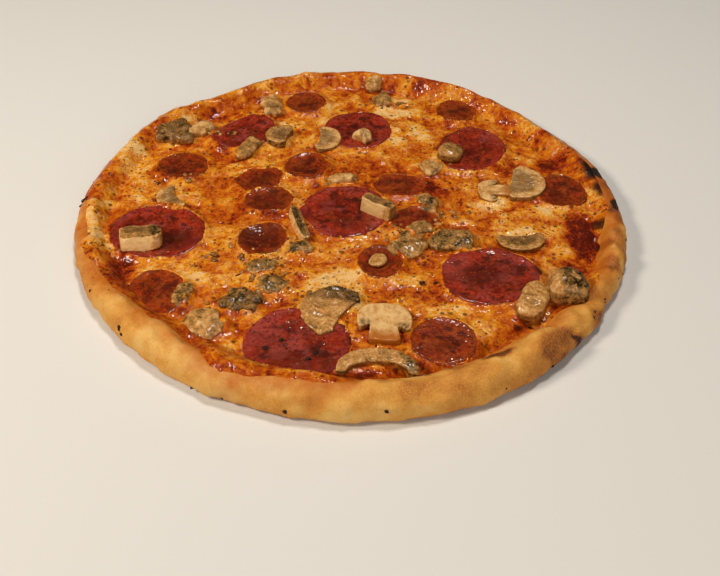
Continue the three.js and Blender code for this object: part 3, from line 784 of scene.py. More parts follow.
@dataclass
class Crust:
    """The dough disc and its hand-pulled rim."""

    ground: Ground
    spokes: int = 840
    inner_rings: int = 36
    outer_rings: int = 16
    tuck_rings: int = 9
    under_rings: int = 24
    tuck: float = 5.0  # how far the resting face stays inside the outer edge
    browned: tuple[Patch, ...] = (
        Patch((71, -120), (18, 10), 24, 0.55),
        Patch((50, -128), (20, 8), 10, 0.22),
        Patch((86, -126), (30, 10), 40, 0.12),
        Patch((99, -112), (24, 12), 38, 0.36),
        Patch((126, -88), (14, 10), 60, 0.3),
        Patch((56, -136), (60, 16), 20, 0.12),
        Patch((110, -108), (22, 12), 45, 0.25),
        Patch((137, -49), (14, 12), 70, 0.4),
        Patch((127, -78), (16, 18), 60, 0.16),
        Patch((146, -30), (10, 30), 5, 0.3),
        Patch((147, 10), (12, 40), 5, 0.42),
        Patch((-133, -66), (14, 20), 30, 0.14),
        Patch((12, -128), (26, 10), 5, 0.14),
    )
    burnt: tuple[Patch, ...] = (
        Patch((145.5, 31), (22, 16), 105, 0.62),
        Patch((144.5, 35), (14, 9), 105, 0.92),
        Patch((146.5, 22), (10, 12), 0, 0.7),
        Patch((148, 3), (14, 26), 0, 0.6),
        Patch((149, 5), (8, 11), 0, 0.92),
        Patch((149, -9), (8, 13), 0, 0.62),
        Patch((138, -31), (13, 10), 40, 0.66),
        Patch((62, 139), (18, 11), -30, 0.9),
        Patch((74, 134), (12, 8), -30, 0.7),
        Patch((129, 78), (9, 6), -50, 0.45),
        Patch((-98, 116), (14, 6), 45, 0.35),
    )

    def _outline(self) -> tuple[np.ndarray, np.ndarray, np.ndarray]:
        """Rings of points from the inside of the rim over its crest and under it to the middle.

        Returns:
            Angle in degrees, radius and height, one row for each ring.
        """
        angle = np.arange(self.spokes) * FULL_TURN / self.spokes
        outer = self.ground.outer_at(angle)
        crest = self.ground.crest_at(angle)
        rows = []
        for share in np.linspace(1, 0, self.inner_rings):
            depth = crest + (self.ground.rim_span - crest) * share
            rows.append((outer - depth, self.ground.height_from_edge(angle, depth)))
        for share in np.linspace(0, 1, self.outer_rings + 1)[1:]:
            depth = crest * (1 - math.sin(share * math.pi / 2))
            rows.append((outer - depth, self.ground.height_from_edge(angle, depth)))
        for share in np.linspace(0, 1, self.tuck_rings + 1)[1:]:
            turn = share * math.pi / 2
            rows.append((outer - self.tuck * (1 - math.cos(turn)), self.ground.belly * (1 - math.sin(turn)) + 0 * outer))
        for share in np.linspace(1, 0.02, self.under_rings + 1)[1:]:
            rows.append(((outer - self.tuck) * share, 0 * outer))
        radius = np.array([r for r, _ in rows])
        height = np.array([z for _, z in rows])
        return np.broadcast_to(angle, radius.shape), radius, height

    def build(self) -> bpy.types.Object:
        """Builds the crust's mesh and dresses it.

        Returns:
            The crust.
        """
        angle, radius, height = self._outline()
        x = radius * np.cos(np.radians(angle))
        y = radius * np.sin(np.radians(angle))
        depth = self.ground.outer_at(angle.ravel()).reshape(radius.shape) - radius
        upper = np.arange(len(radius)) < self.inner_rings + self.outer_rings
        lumps = self.ground.lumps(x.ravel(), y.ravel(), depth.ravel()).reshape(x.shape)
        grid = np.stack([x, y, height + lumps * upper[:, None]], -1)
        along = np.roll(grid, -1, 1) - np.roll(grid, 1, 1)
        down = np.gradient(grid, axis=0)
        normal = np.cross(down, along)
        normal /= np.maximum(np.linalg.norm(normal, axis=-1, keepdims=True), 1e-9)
        points = grid.reshape(-1, 3)
        blister = np.maximum(0, rough_noise(points, 5.5, 11, 2) - 0.25) * 0.9
        relief = 0.22 * lattice_noise(points, 3.2, 12) + 0.12 * lattice_noise(points, 1.4, 13) + blister
        bare = np.hypot(points[:, 0], points[:, 1]) - self.ground.melt_edge_at(
            np.degrees(np.arctan2(points[:, 1], points[:, 0])))
        # Under the thin edge of the melt the dough is smooth, so that nothing pokes through.
        relief *= ease(-1, 3.5, bare)
        relief += (1.4 * lattice_noise(points, 15, 15) + 0.75 * lattice_noise(points, 6.5, 16)) * ease(1, 7, bare)
        on_rim = ease(40, 26, depth).reshape(-1)
        under = ease(3.0, 0.5, points[:, 2]) * (depth.reshape(-1) > 0.6)
        relief = relief * on_rim * (1 - under)
        points = points + normal.reshape(-1, 3) * relief[:, None]
        hollows = np.maximum(0, 0.25 + 0.4 * rough_noise(points, 12, 14, 3))
        points[:, 2] = np.maximum(points[:, 2] + hollows * under * ease(148, 140, np.hypot(x, y)).ravel(), 0)
        sheet = self._close(points, len(radius))
        sheet.paint = self._paint(sheet.points)
        piece = sheet.to_object("crust_baked")
        piece.data.materials.append(BakedDough().material())
        return piece

    def _close(self, points: np.ndarray, rings: int) -> Sheet:
        """Joins the rings and closes the two ends with fans."""
        count = self.spokes
        index = np.arange(rings * count).reshape(rings, count)
        nxt = np.roll(index, -1, 1)
        quads = np.stack([index[:-1], index[1:], nxt[1:], nxt[:-1]], -1).reshape(-1, 4)
        first_pole = np.array([[0, 0, points[index[0], 2].mean()]])
        last_pole = np.array([[0, 0, points[index[-1], 2].mean()]])
        faces = [tuple(q) for q in quads.tolist()]
        poles = len(points)
        faces += [(poles, a, b) for a, b in zip(index[0].tolist(), nxt[0].tolist())]
        faces += [(poles + 1, b, a) for a, b in zip(index[-1].tolist(), nxt[-1].tolist())]
        return Sheet(np.concatenate([points, first_pole, last_pole]), faces)

    def _paint(self, points: np.ndarray) -> dict[str, np.ndarray]:
        """How far each place is baked, with painted shade along the dough's folds, and how far oil has soaked in."""
        x, y, z = points.T
        angle = np.degrees(np.arctan2(y, x))
        depth = self.ground.outer_at(angle) - np.hypot(x, y)
        rag = 0.3 * rough_noise(points, 6, 21, 3)
        bake = 0.24 + 0.17 * rough_noise(points, 24, 22, 2) + 0.13 * rough_noise(points, 8, 23, 3)
        bake += 0.06 * ease(0.2, 0.9, rough_noise(points, 3.0, 27, 2))
        bake += painted(list(self.browned), x, y, rag)
        to_the_right = ease(-85, -35, angle) * ease(100, 40, angle)
        bake += 0.04 * to_the_right
        # Painted shade: the dough is darker along its folds, where shade falls into them.
        bake += 0.42 * sum(fold.depth / 5 * fold.shade(x, y) for fold in self.ground.folds)
        low = ease(3.4, 0.6, z) * (depth < 12)
        bake += low * (0.14 + 0.34 * to_the_right + 0.15 * rough_noise(points, 9, 24, 2))
        underneath = (z < 1.5) & (depth > 3)
        bake = np.where(underneath, 0.4 + 0.22 * rough_noise(points, 14, 25, 4), bake)
        bake = np.maximum(bake, painted(list(self.burnt), x, y, rag) * (z > 3) * 1.1)
        melt_edge = self.ground.melt_edge_at(angle)
        beyond = np.hypot(x, y) - melt_edge
        stain = ease(11, 0, beyond + 4.5 * rough_noise(points, 11, 26, 3)) * ease(1.5, 5, z)
        # Oil doesn't show on burnt dough.
        stain *= ease(0.95, 0.65, bake)
        return {"bake": np.clip(bake, 0, 1), "stain": np.clip(stain, 0, 1) * 0.85}


# ---- Salami -------------------------------------------------------------------------------------


@dataclass(frozen=True)
class Lift:
    """A stretch of a slice's edge that has risen in the oven."""

    angle: float  # direction of its middle from the slice's middle, in degrees
    spread: float  # half its length, in degrees
    height: float  # how far the edge has risen, in mm
    inside: float = 0.72  # where the rise begins, from the middle (0) to the edge (1)

    def rise(self, angle: np.ndarray, share: np.ndarray) -> np.ndarray:
        """Height of the rise at places on the slice."""
        off = np.abs((angle - self.angle + 180) % FULL_TURN - 180)
        return self.height * ease(self.spread, self.spread * 0.3, off) * ease(self.inside, 1.02, share)


@dataclass(frozen=True)
class Slice:
    """One slice of salami, in the place of its solid."""

    node: str
    seed: int
    cover: float = 0.2  # how far the melt creeps over its edge, in mm
    lifts: tuple[Lift, ...] = ()
    burns: tuple[Patch, ...] = ()  # darker places, measured from the slice's middle
    # pinkish places are a painted reflection of the lamps' sheen on the oily meat
    blush: tuple[Patch, ...] = ()  # pinkish pale places, measured the same way
    hidden: tuple[Patch, ...] = ()  # where the melt has run over it, measured the same way
    ripple: float = 0.5


class SlicePlace:
    """Where a slice lies: its outline and its upper side, measured on its solid."""

    rays = 48
    step = 0.8

    def __init__(self, node: str) -> None:
        """Finds the outline by rays from above and fits a smooth warped surface to the top."""
        probe = Probe(node)
        low, high = probe.points.min(0), probe.points.max(0)
        self.middle = (low + high)[:2] / 2
        turns = np.arange(self.rays) * FULL_TURN / self.rays
        self.radii = np.zeros(self.rays)
        places, heights = [], []
        for k, turn in enumerate(np.radians(turns)):
            for radius in np.arange(0.5, 32, self.step):
                x = self.middle[0] + radius * math.cos(turn)
                y = self.middle[1] + radius * math.sin(turn)
                height = probe.top(x, y)
                if math.isnan(height):
                    continue
                self.radii[k] = radius + self.step / 2
                places.append((x, y))
                heights.append(height)
        self.radii = smooth_along(self.radii, 0.8)
        places = np.array(places)
        self.fit = np.linalg.lstsq(self._terms(places[:, 0], places[:, 1]), np.array(heights), rcond=None)[0]

    def polar(self, x: np.ndarray, y: np.ndarray) -> tuple[np.ndarray, np.ndarray, np.ndarray]:
        """Angle in degrees, share of the way to the edge, and distance in from the edge in mm."""
        dx, dy = x - self.middle[0], y - self.middle[1]
        angle = np.degrees(np.arctan2(dy, dx))
        edge = np.interp(angle, np.arange(self.rays) * FULL_TURN / self.rays, self.radii, period=FULL_TURN)
        away = np.hypot(dx, dy)
        return angle, away / edge, edge - away

    def _terms(self, x: np.ndarray, y: np.ndarray) -> np.ndarray:
        """The shapes whose sum is the slice's upper side: a tilt, a cup and two folds."""
        angle, share, _ = self.polar(x, y)
        share = np.minimum(share, 1.1) ** 2
        twice = np.radians(2 * angle)
        return np.stack([np.ones_like(x), x, y, share, share * np.cos(twice), share * np.sin(twice)], -1)

    def top(self, x: np.ndarray, y: np.ndarray) -> np.ndarray:
        """Height of the slice's upper side."""
        return self._terms(x, y) @ self.fit


@dataclass
class SalamiSlices:
    """All slices of one sausage."""

    slices: tuple[Slice, ...]
    slot: str
    finish: CuredSalami
    mottled: float = 0.8  # strength of the darker spots inside a slice
    # the pinkish places are a painted reflection of the lamps' sheen
    painted_sheen_strength: float = 0.5  # strength of the pinkish places
    steps: int = 56
    thickness: float = 1.7

    def __post_init__(self) -> None:
        """Measures each slice's place."""
        self.places = {s.node: SlicePlace(s.node) for s in self.slices}

    def surface(self, piece: Slice, x: np.ndarray, y: np.ndarray) -> np.ndarray:
        """Height of a slice's upper side, with the warps that the oven gave it."""
        place = self.places[piece.node]
        angle, share, _ = place.polar(x, y)
        points = flat(x, y, 9.0 * piece.seed)
        height = place.top(x, y) + piece.ripple * lattice_noise(points, 13, piece.seed) * (0.4 + share)
        curled = 0.25 + 0.3 * lattice_noise(points, 11, piece.seed + 80)
        height += curled * ease(0.8, 0.96, share)
        for lift in piece.lifts:
            height += lift.rise(angle, share)
        return height

    def build(self) -> list[bpy.types.Object]:
        """Builds every slice and dresses it.

        Returns:
            The slices.
        """
        material = self.finish.material()
        pieces = []
        for piece in self.slices:
            body = self._slice(piece).to_object(piece.node + "_slice")
            body.data.materials.append(material)
            pieces.append(body)
            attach(body, "root")
            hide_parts(piece.node)
        return pieces

    def _slice(self, piece: Slice) -> Sheet:
        """One slice: a warped, pebbled disc with a rounded edge."""
        place = self.places[piece.node]
        grid = DiscGrid(self.steps)
        edge_radius = np.interp(grid.angle, np.arange(place.rays) * FULL_TURN / place.rays, place.radii,
                                period=FULL_TURN)
        turn = np.radians(grid.angle)
        round_it = flat(6 * np.cos(turn), 6 * np.sin(turn), 5.0 * piece.seed)
        frayed = edge_radius * (1 + 0.065 * lattice_noise(round_it, 4.5, 5) + 0.03 * lattice_noise(round_it, 1.4, 6))
        x = place.middle[0] + grid.radius * frayed * np.cos(turn)
        y = place.middle[1] + grid.radius * frayed * np.sin(turn)
        z = self.surface(piece, x, y)
        points = flat(x, y, 3.0 * piece.seed)
        pebble = 0.09 * lattice_noise(points, 3.4, 41) + 0.06 * lattice_noise(points, 1.6, 42)
        pebble += 0.2 * np.maximum(0, lattice_noise(points, 5.2, 43) - 0.25)
        top = np.stack([x, y, z + pebble - 0.5 * ease(0.97, 1.0, grid.radius)], -1)
        rim = top[grid.edge]
        out = rim - np.append(place.middle, 0)
        out[:, 2] = 0
        out /= np.linalg.norm(out, axis=1, keepdims=True)
        drop = np.array([0, 0, -1.0])
        lower = [
            rim + out * 0.22 + drop * 0.35, rim + out * 0.25 + drop * 0.75,
            rim + drop * (self.thickness - 0.3), rim - out * 0.8 + drop * self.thickness,
        ]
        bottom = np.array([*place.middle, lower[-1][:, 2].mean()])
        sheet = grid.closed(top, lower, bottom)
        px, py, _ = sheet.points.T
        share = place.polar(px, py)[1]
        dx, dy = px - place.middle[0], py - place.middle[1]
        rag = 0.3 * rough_noise(flat(px, py, 2.0 * piece.seed), 4, 44, 3)
        own = flat(px, py, 4.0 * piece.seed)
        seared = 0.9 * ease(0.86, 0.99, share) * ease(0.05, 0.5, rough_noise(own, 9, 45, 2))
        stained = self.mottled * ease(0.02, 0.42, rough_noise(own, 5, 46, 3)) * ease(1.05, 0.75, share)
        burn = np.maximum(seared, stained)
        if piece.burns:
            burn = np.maximum(burn, painted(list(piece.burns), dx, dy, rag))
        # Pinkish places, a painted reflection of the lamps' sheen on the oily meat.
        blush = self.painted_sheen_strength * ease(0.0, 0.5, rough_noise(own, 9, 47, 3))
        if piece.blush:
            blush = np.maximum(blush, painted(list(piece.blush), dx, dy, rag))
        sheet.paint = {"edge": np.clip(share, 0, 1), "burn": burn, "blush": blush}
        return sheet


# ---- Cheese -------------------------------------------------------------------------------------


@dataclass
class Melt:
    """The melted cheese with the sauce and oil that show between its curds."""

    ground: Ground
    slices: list[SalamiSlices]
    mushrooms: "Mushrooms"
    steps: int = 300
    overrun: float = 6.0  # how far the sheet runs past the melt's edge, inside the dough
    curd: float = 13.0  # width of the largest curds
    bubbles: int = 120
    pale: tuple[Patch, ...] = (
        Patch((-5, -61), (26, 14), 20, 0.42),
        Patch((4, -74), (12, 22), 10, 0.36),
        Patch((-108, 16), (34, 12), 10, 0.2),
        Patch((-134, 8), (22, 14), 60, 0.1),
        Patch((-92, 8), (18, 12), 0, 0.3),
        Patch((-140, -22), (14, 46), 8, 0.34),
        Patch((-132, 48), (18, 70), 24, 0.28),
        Patch((-110, 92), (16, 50), 45, 0.2),
        Patch((-30, 34), (26, 8), 20, 0.24),
        Patch((40, 84), (14, 26), 20, 0.3),
        Patch((-40, 88), (16, 12), 0, 0.2),
        Patch((110, 22), (18, 8), 0, 0.2),
        Patch((52, -84), (26, 12), 0, 0.26),
        Patch((30, -78), (14, 10), 0, 0.2),
        Patch((88, -100), (14, 8), 30, 0.2),
        Patch((-60, -30), (20, 8), 0, 0.2),
        Patch((100, -20), (44, 12), 12, 0.34),
        Patch((80, 6), (26, 10), 0, 0.24),
        Patch((-14, -66), (30, 12), 30, 0.34),
        Patch((-62, 44), (26, 8), 20, 0.24),
        Patch((25, 104), (26, 13), 0, 0.46),
        Patch((36, 120), (22, 10), 20, 0.4),
        Patch((26, 76), (12, 22), 0, 0.34),
        Patch((101, 0), (34, 12), 10, 0.32),
        Patch((88, -12), (26, 10), 0, 0.22),
        Patch((112, -36), (16, 10), 30, 0.24),
        Patch((-75, -62), (11, 10), 0, 0.3),
        Patch((-62, -62), (14, 10), 0, 0.22),
        Patch((60, -8), (20, 8), -20, 0.2),
        Patch((45, 48), (18, 10), 20, 0.2),
        Patch((-40, -66), (14, 8), 0, 0.22),
        Patch((104, 52), (20, 10), -30, 0.2),
        Patch((-60, 32), (26, 10), 0, 0.12),
        Patch((30, -62), (20, 10), 0, 0.2),
        Patch((-20, 92), (12, 10), 0, 0.2),
    )
    sauce: tuple[Patch, ...] = (
        Patch((-119, -53), (16, 24), 10, 0.56),
        Patch((-117, -67), (15, 20), 30, 0.52),
        Patch((-98, -92), (24, 10), -30, 0.4),
        Patch((-80, -84), (22, 12), -30, 0.24),
        Patch((128, -20), (20, 38), 0, 0.58),
        Patch((-1, 38), (56, 22), 0, 0.2),
        Patch((-82, 106), (50, 22), 38, 0.24),
        Patch((60, 92), (50, 16), -10, 0.16),
        Patch((-8, -132), (22, 8), 0, 0.4),
        Patch((119, -46), (12, 16), 10, 0.36),
        Patch((119, 50), (18, 14), 0, 0.36),
        Patch((14, 133), (30, 12), 0, 0.3),
        Patch((45, 134), (20, 9), -10, 0.34),
        Patch((-90, 118), (26, 12), 40, 0.24),
        Patch((-58, 116), (16, 22), 0, 0.26),
        Patch((12, -131), (36, 9), 3, 0.4),
        Patch((-70, -112), (34, 16), -35, 0.2),
        Patch((30, 26), (50, 26), 0, 0.16),
        Patch((-5, -22), (26, 8), 0, 0.2),
        Patch((40, -42), (40, 22), 0, 0.12),
    )
    toasted: tuple[Patch, ...] = (
        Patch((38.5, -63.6), (5, 5), 0, 1.0),
        Patch((45.2, -63.4), (4, 4.5), 0, 1.0),
        Patch((84, -94), (6, 4), 20, 0.95),
        Patch((-70.5, -44.3), (5, 4), 10, 1.0),
        Patch((-81, -52), (5, 4), 10, 0.9),
        Patch((131.7, -18), (10, 13), 20, 0.92),
        Patch((125, -36), (9, 10), 0, 0.82),
        Patch((-143, -29), (8, 14), 10, 0.7),
        Patch((-135, -48), (9, 14), 20, 0.75),
        Patch((-124, -64), (9, 16), 30, 0.8),
        Patch((-118, -79), (10, 12), 40, 0.62),
        Patch((-128, -50), (24, 50), 22, 0.5),
        Patch((133, 64), (10, 16), 30, 0.8),
        Patch((60, 8), (28, 16), 0, 0.36),
        Patch((80, 0), (22, 12), 10, 0.3),
        Patch((100, 40), (26, 12), 0, 0.3),
        Patch((-30, 56), (30, 14), 0, 0.3),
        Patch((-110, 24), (8, 5), 0, 0.85),
        Patch((-127, 12), (20, 22), 0, 0.5),
        Patch((60, 136), (16, 8), -30, 0.7),
        Patch((50, 122), (18, 8), 0, 0.4),
        Patch((-67.4, -78), (8, 7), 0, 0.72),
    )
    scorched: tuple[Patch, ...] = (
        Patch((142.5, 37), (22, 13), 105, 1.0),
        Patch((144.7, 19), (11, 16), 0, 0.95),
        Patch((139.5, -11), (10, 10), 0, 0.85),
        Patch((137, -31), (8, 7), 40, 0.8),
        Patch((62, 140), (12, 8), -30, 0.95),
        Patch((150, 6), (6, 16), 0, 0.9),
        Patch((141, 48), (6, 5), 0, 0.7),
        Patch((131, 78), (6, 5), 0, 0.5),
    )

    def build(self) -> bpy.types.Object:
        """Builds the melt's mesh and dresses it.

        Returns:
            The melt.
        """
        grid = DiscGrid(self.steps)
        turn = np.radians(grid.angle)
        reach = np.minimum(self.ground.melt_edge_at(grid.angle) + self.overrun,
                           self.ground.outer_at(grid.angle) - 0.9)
        x = grid.radius * reach * np.cos(turn)
        y = grid.radius * reach * np.sin(turn)
        places = flat(x, y)
        warp = np.stack([rough_noise(places, 17, 51, 2), rough_noise(places, 17, 52, 2), 0 * x], -1)
        warped = places + 5.0 * warp
        curds = rough_noise(warped, self.curd, 53, 4, 0.55)
        rag = 0.35 * rough_noise(places, 7, 54, 3)
        milk = 0.49 + 0.46 * curds + 0.2 * rough_noise(places, 34, 55, 2)
        milk += painted(list(self.pale), x, y, rag) - painted(list(self.sauce), x, y, rag)
        relief = 1.0 * ease(0.25, 0.8, milk) - 0.5 + 0.26 * lattice_noise(warped, 4.6, 56)
        relief += 0.1 * lattice_noise(places, 2.2, 57)
        domes, domed = self._bubbles(x, y)
        relief += domes
        base = self.ground.dough_top(x, y)
        thickness = self.ground.melt_thickness(x, y)
        from_edge = self.ground.melt_edge_at(grid.angle) - np.hypot(x, y)
        at_left = ease(125, 160, np.abs(grid.angle))
        from_edge += (2.6 + 2.0 * at_left) * rough_noise(places, 16, 58, 2)
        glazed = 0.8 * ease(11, 1, from_edge) * ease(65, 45, np.abs(grid.angle + 105))
        milk += (0.3 - milk) * glazed
        cover = ease(-1.0, 7.5, from_edge)
        z = base + thickness * cover + relief * ease(0, 6, from_edge) * np.clip(thickness / 3, 0.35, 1)
        z -= 0.9 * ease(0.6, -2.2, from_edge) + 2.4 * ease(-1.2, -4.5, from_edge)
        z = self._bed_slices(x, y, z, places)
        z = self._bed_mushrooms(x, y, z, places)
        top = np.stack([x, y, z], -1)
        rim = top[grid.edge]
        inward = np.append(rim[:, :2] * 0.985, np.full((len(rim), 1), 2.0), 1)
        sheet = grid.closed(top, [rim - [0, 0, 1.2], inward], np.array([0, 0, 2.0]))
        toast = 0.2 + 0.24 * ease(0.1, 0.6, rough_noise(places, 22, 59, 2)) + domed * 0.4
        toast = np.maximum(toast, painted(list(self.toasted), x, y, rag))
        char = painted(list(self.scorched), x, y, rag)
        lower = len(sheet.points) - len(top)
        sheet.paint = {
            "milk": np.append(np.clip(milk, 0, 1), np.full(lower, 0.3)),
            "toast": np.append(np.clip(toast, 0, 1), np.zeros(lower)),
            "char": np.append(np.clip(char, 0, 1), np.zeros(lower)),
        }
        piece = sheet.to_object("cheese_melted")
        piece.data.materials.append(MeltedCheese().material())
        return piece

    def _bubbles(self, x: np.ndarray, y: np.ndarray) -> tuple[np.ndarray, np.ndarray]:
        """Domes that steam blew into the melt.

        Returns:
            The height that they add, and how far up a dome each place is.
        """
        draw = np.random.default_rng(7)
        height = np.zeros_like(x)
        top = np.zeros_like(x)
        for _ in range(self.bubbles):
            radius = draw.uniform(1.4, 4.2)
            angle, away = draw.uniform(0, 2 * math.pi), 138 * math.sqrt(draw.uniform())
            u = (x - away * math.cos(angle)) / radius
            v = (y - away * math.sin(angle)) / (radius * draw.uniform(0.7, 1.2))
            share = np.clip(1 - u * u - v * v, 0, 1)
            height += share ** 0.8 * radius * draw.uniform(0.12, 0.34)
            top = np.maximum(top, share * draw.uniform(0, 1))
        return height, top

    def _bed_slices(self, x: np.ndarray, y: np.ndarray, z: np.ndarray, places: np.ndarray) -> np.ndarray:
        """Lets the melt run under each slice and creep up to its edge or over it."""
        creep = 2.3 * rough_noise(places, 8, 60, 3)
        meniscus = 5.0
        for family in self.slices:
            for piece in family.slices:
                place = family.places[piece.node]
                _, share, inside = place.polar(x, y)
                near = share < 1.6
                reach = np.where(near, np.maximum(share, 0.05), 1.0)
                edge_x = place.middle[0] + (x - place.middle[0]) / reach
                edge_y = place.middle[1] + (y - place.middle[1]) / reach
                edge = np.where(near, family.surface(piece, edge_x, edge_y), 0)
                climb = ease(meniscus, 0, np.abs(inside + 0.6 * creep)) * near * (inside <= 1.0)
                z = z + np.maximum(edge - 0.35 - z, 0) * climb
                surface = np.where(near, family.surface(piece, x, y), 0)
                cover = piece.cover - creep
                if piece.hidden:
                    cover = cover + 9 * painted(list(piece.hidden), x - place.middle[0], y - place.middle[1], 0 * x)
                creeping = ease(0.0, 0.5, cover - inside) * (inside > 0) * near
                under = near * (inside > 0) * (1 - creeping)
                over = surface + 0.15 + 0.35 * ease(-0.2, 1.0, cover - inside)
                z = np.where(creeping > 0, np.maximum(z, over * creeping + z * (1 - creeping)), z)
                tucked = ease(0, 0.9, inside) * under
                z = z * (1 - tucked) + np.minimum(z, surface - 1.0) * tucked
        return z

    def _bed_mushrooms(self, x: np.ndarray, y: np.ndarray, z: np.ndarray, places: np.ndarray) -> np.ndarray:
        """Lets the melt climb a little up each piece of mushroom."""
        creep = rough_noise(places, 5, 67, 2)
        for piece in self.mushrooms.pieces:
            outside = self.mushrooms.outside(piece, x, y)
            if self.mushrooms.clear_of_melt(piece):
                continue
            z = z + piece.sunk * np.exp(-(np.maximum(outside + 0.8 * creep, 0) / 2.4) ** 2) * (outside < 12)
        return z


# ---- Mushrooms ----------------------------------------------------------------------------------


class Cut(Enum):
    """How a piece of mushroom was cut."""

    LENGTHWISE = "cap and stalk cut through"
    BOW = "thin slice off a cap's edge, bent like a bow"
    SHELL = "slice across the cap"
    BLOCK = "chunk with straight sides"
    ROUNDED = "end of a cap or stalk"
    PULP = "cooked down to a soft lump"


class Gills(Enum):
    """Where a piece shows its gills."""

    NONE = "nowhere"
    TOP_BAND = "a band along its top"
    BACK_BAND = "a band along the back of its top"
    UNDER_CAP = "beside the stalk"
    INNER = "inside the bow of the cap"
    STREAKS = "all over its top"
    FAR_END = "crisp gills at its right end, as it was cut"


@dataclass(frozen=True)
class MushroomPiece:
    """One piece of mushroom, in the place of its solid."""

    node: str
    turn: float
    cut: Cut = Cut.ROUNDED
    gills: Gills = Gills.NONE
    tone: float = 0.2  # 0 cream to 1 dark
    stalk: float = 0.6  # half the stalk's width, as a share of half the cap's
    lobes: tuple[float, float] = (-0.05, -0.5)  # how far down the cap's left and right edges reach
    band: float = 0.8
    squareness: float = 2.4
    ruffle: float = 0.5  # how uneven cooking made it, in mm
    oiled: float = 0.3
    shaded_right_end: float = 0.0  # extra tone at its right end: painted shade on the side away from the key light, on some pieces also a browner cut end
    # ring also scales painted shade on the piece's right side and painted light on its left
    ring: float = 0.0  # dark ring of cap skin round a pale top
    sunk: float = 0.7  # how far the melt climbs up its side, in mm
    thick: float = 1.0  # share of its solid's thickness that it fills, from below
    long: float = 1.0  # share of its outline that it fills, from its front end
    seed: int = 0  # added to the piece's own number, to choose another unevenness


def rounded_corners(corners: np.ndarray, rounds: int = 3) -> np.ndarray:
    """Cuts the corners of a closed outline again and again, until it is a smooth curve."""
    for _ in range(rounds):
        following = np.roll(corners, -1, 0)
        corners = np.stack([0.75 * corners + 0.25 * following, 0.25 * corners + 0.75 * following], 1).reshape(-1, 2)
    return corners


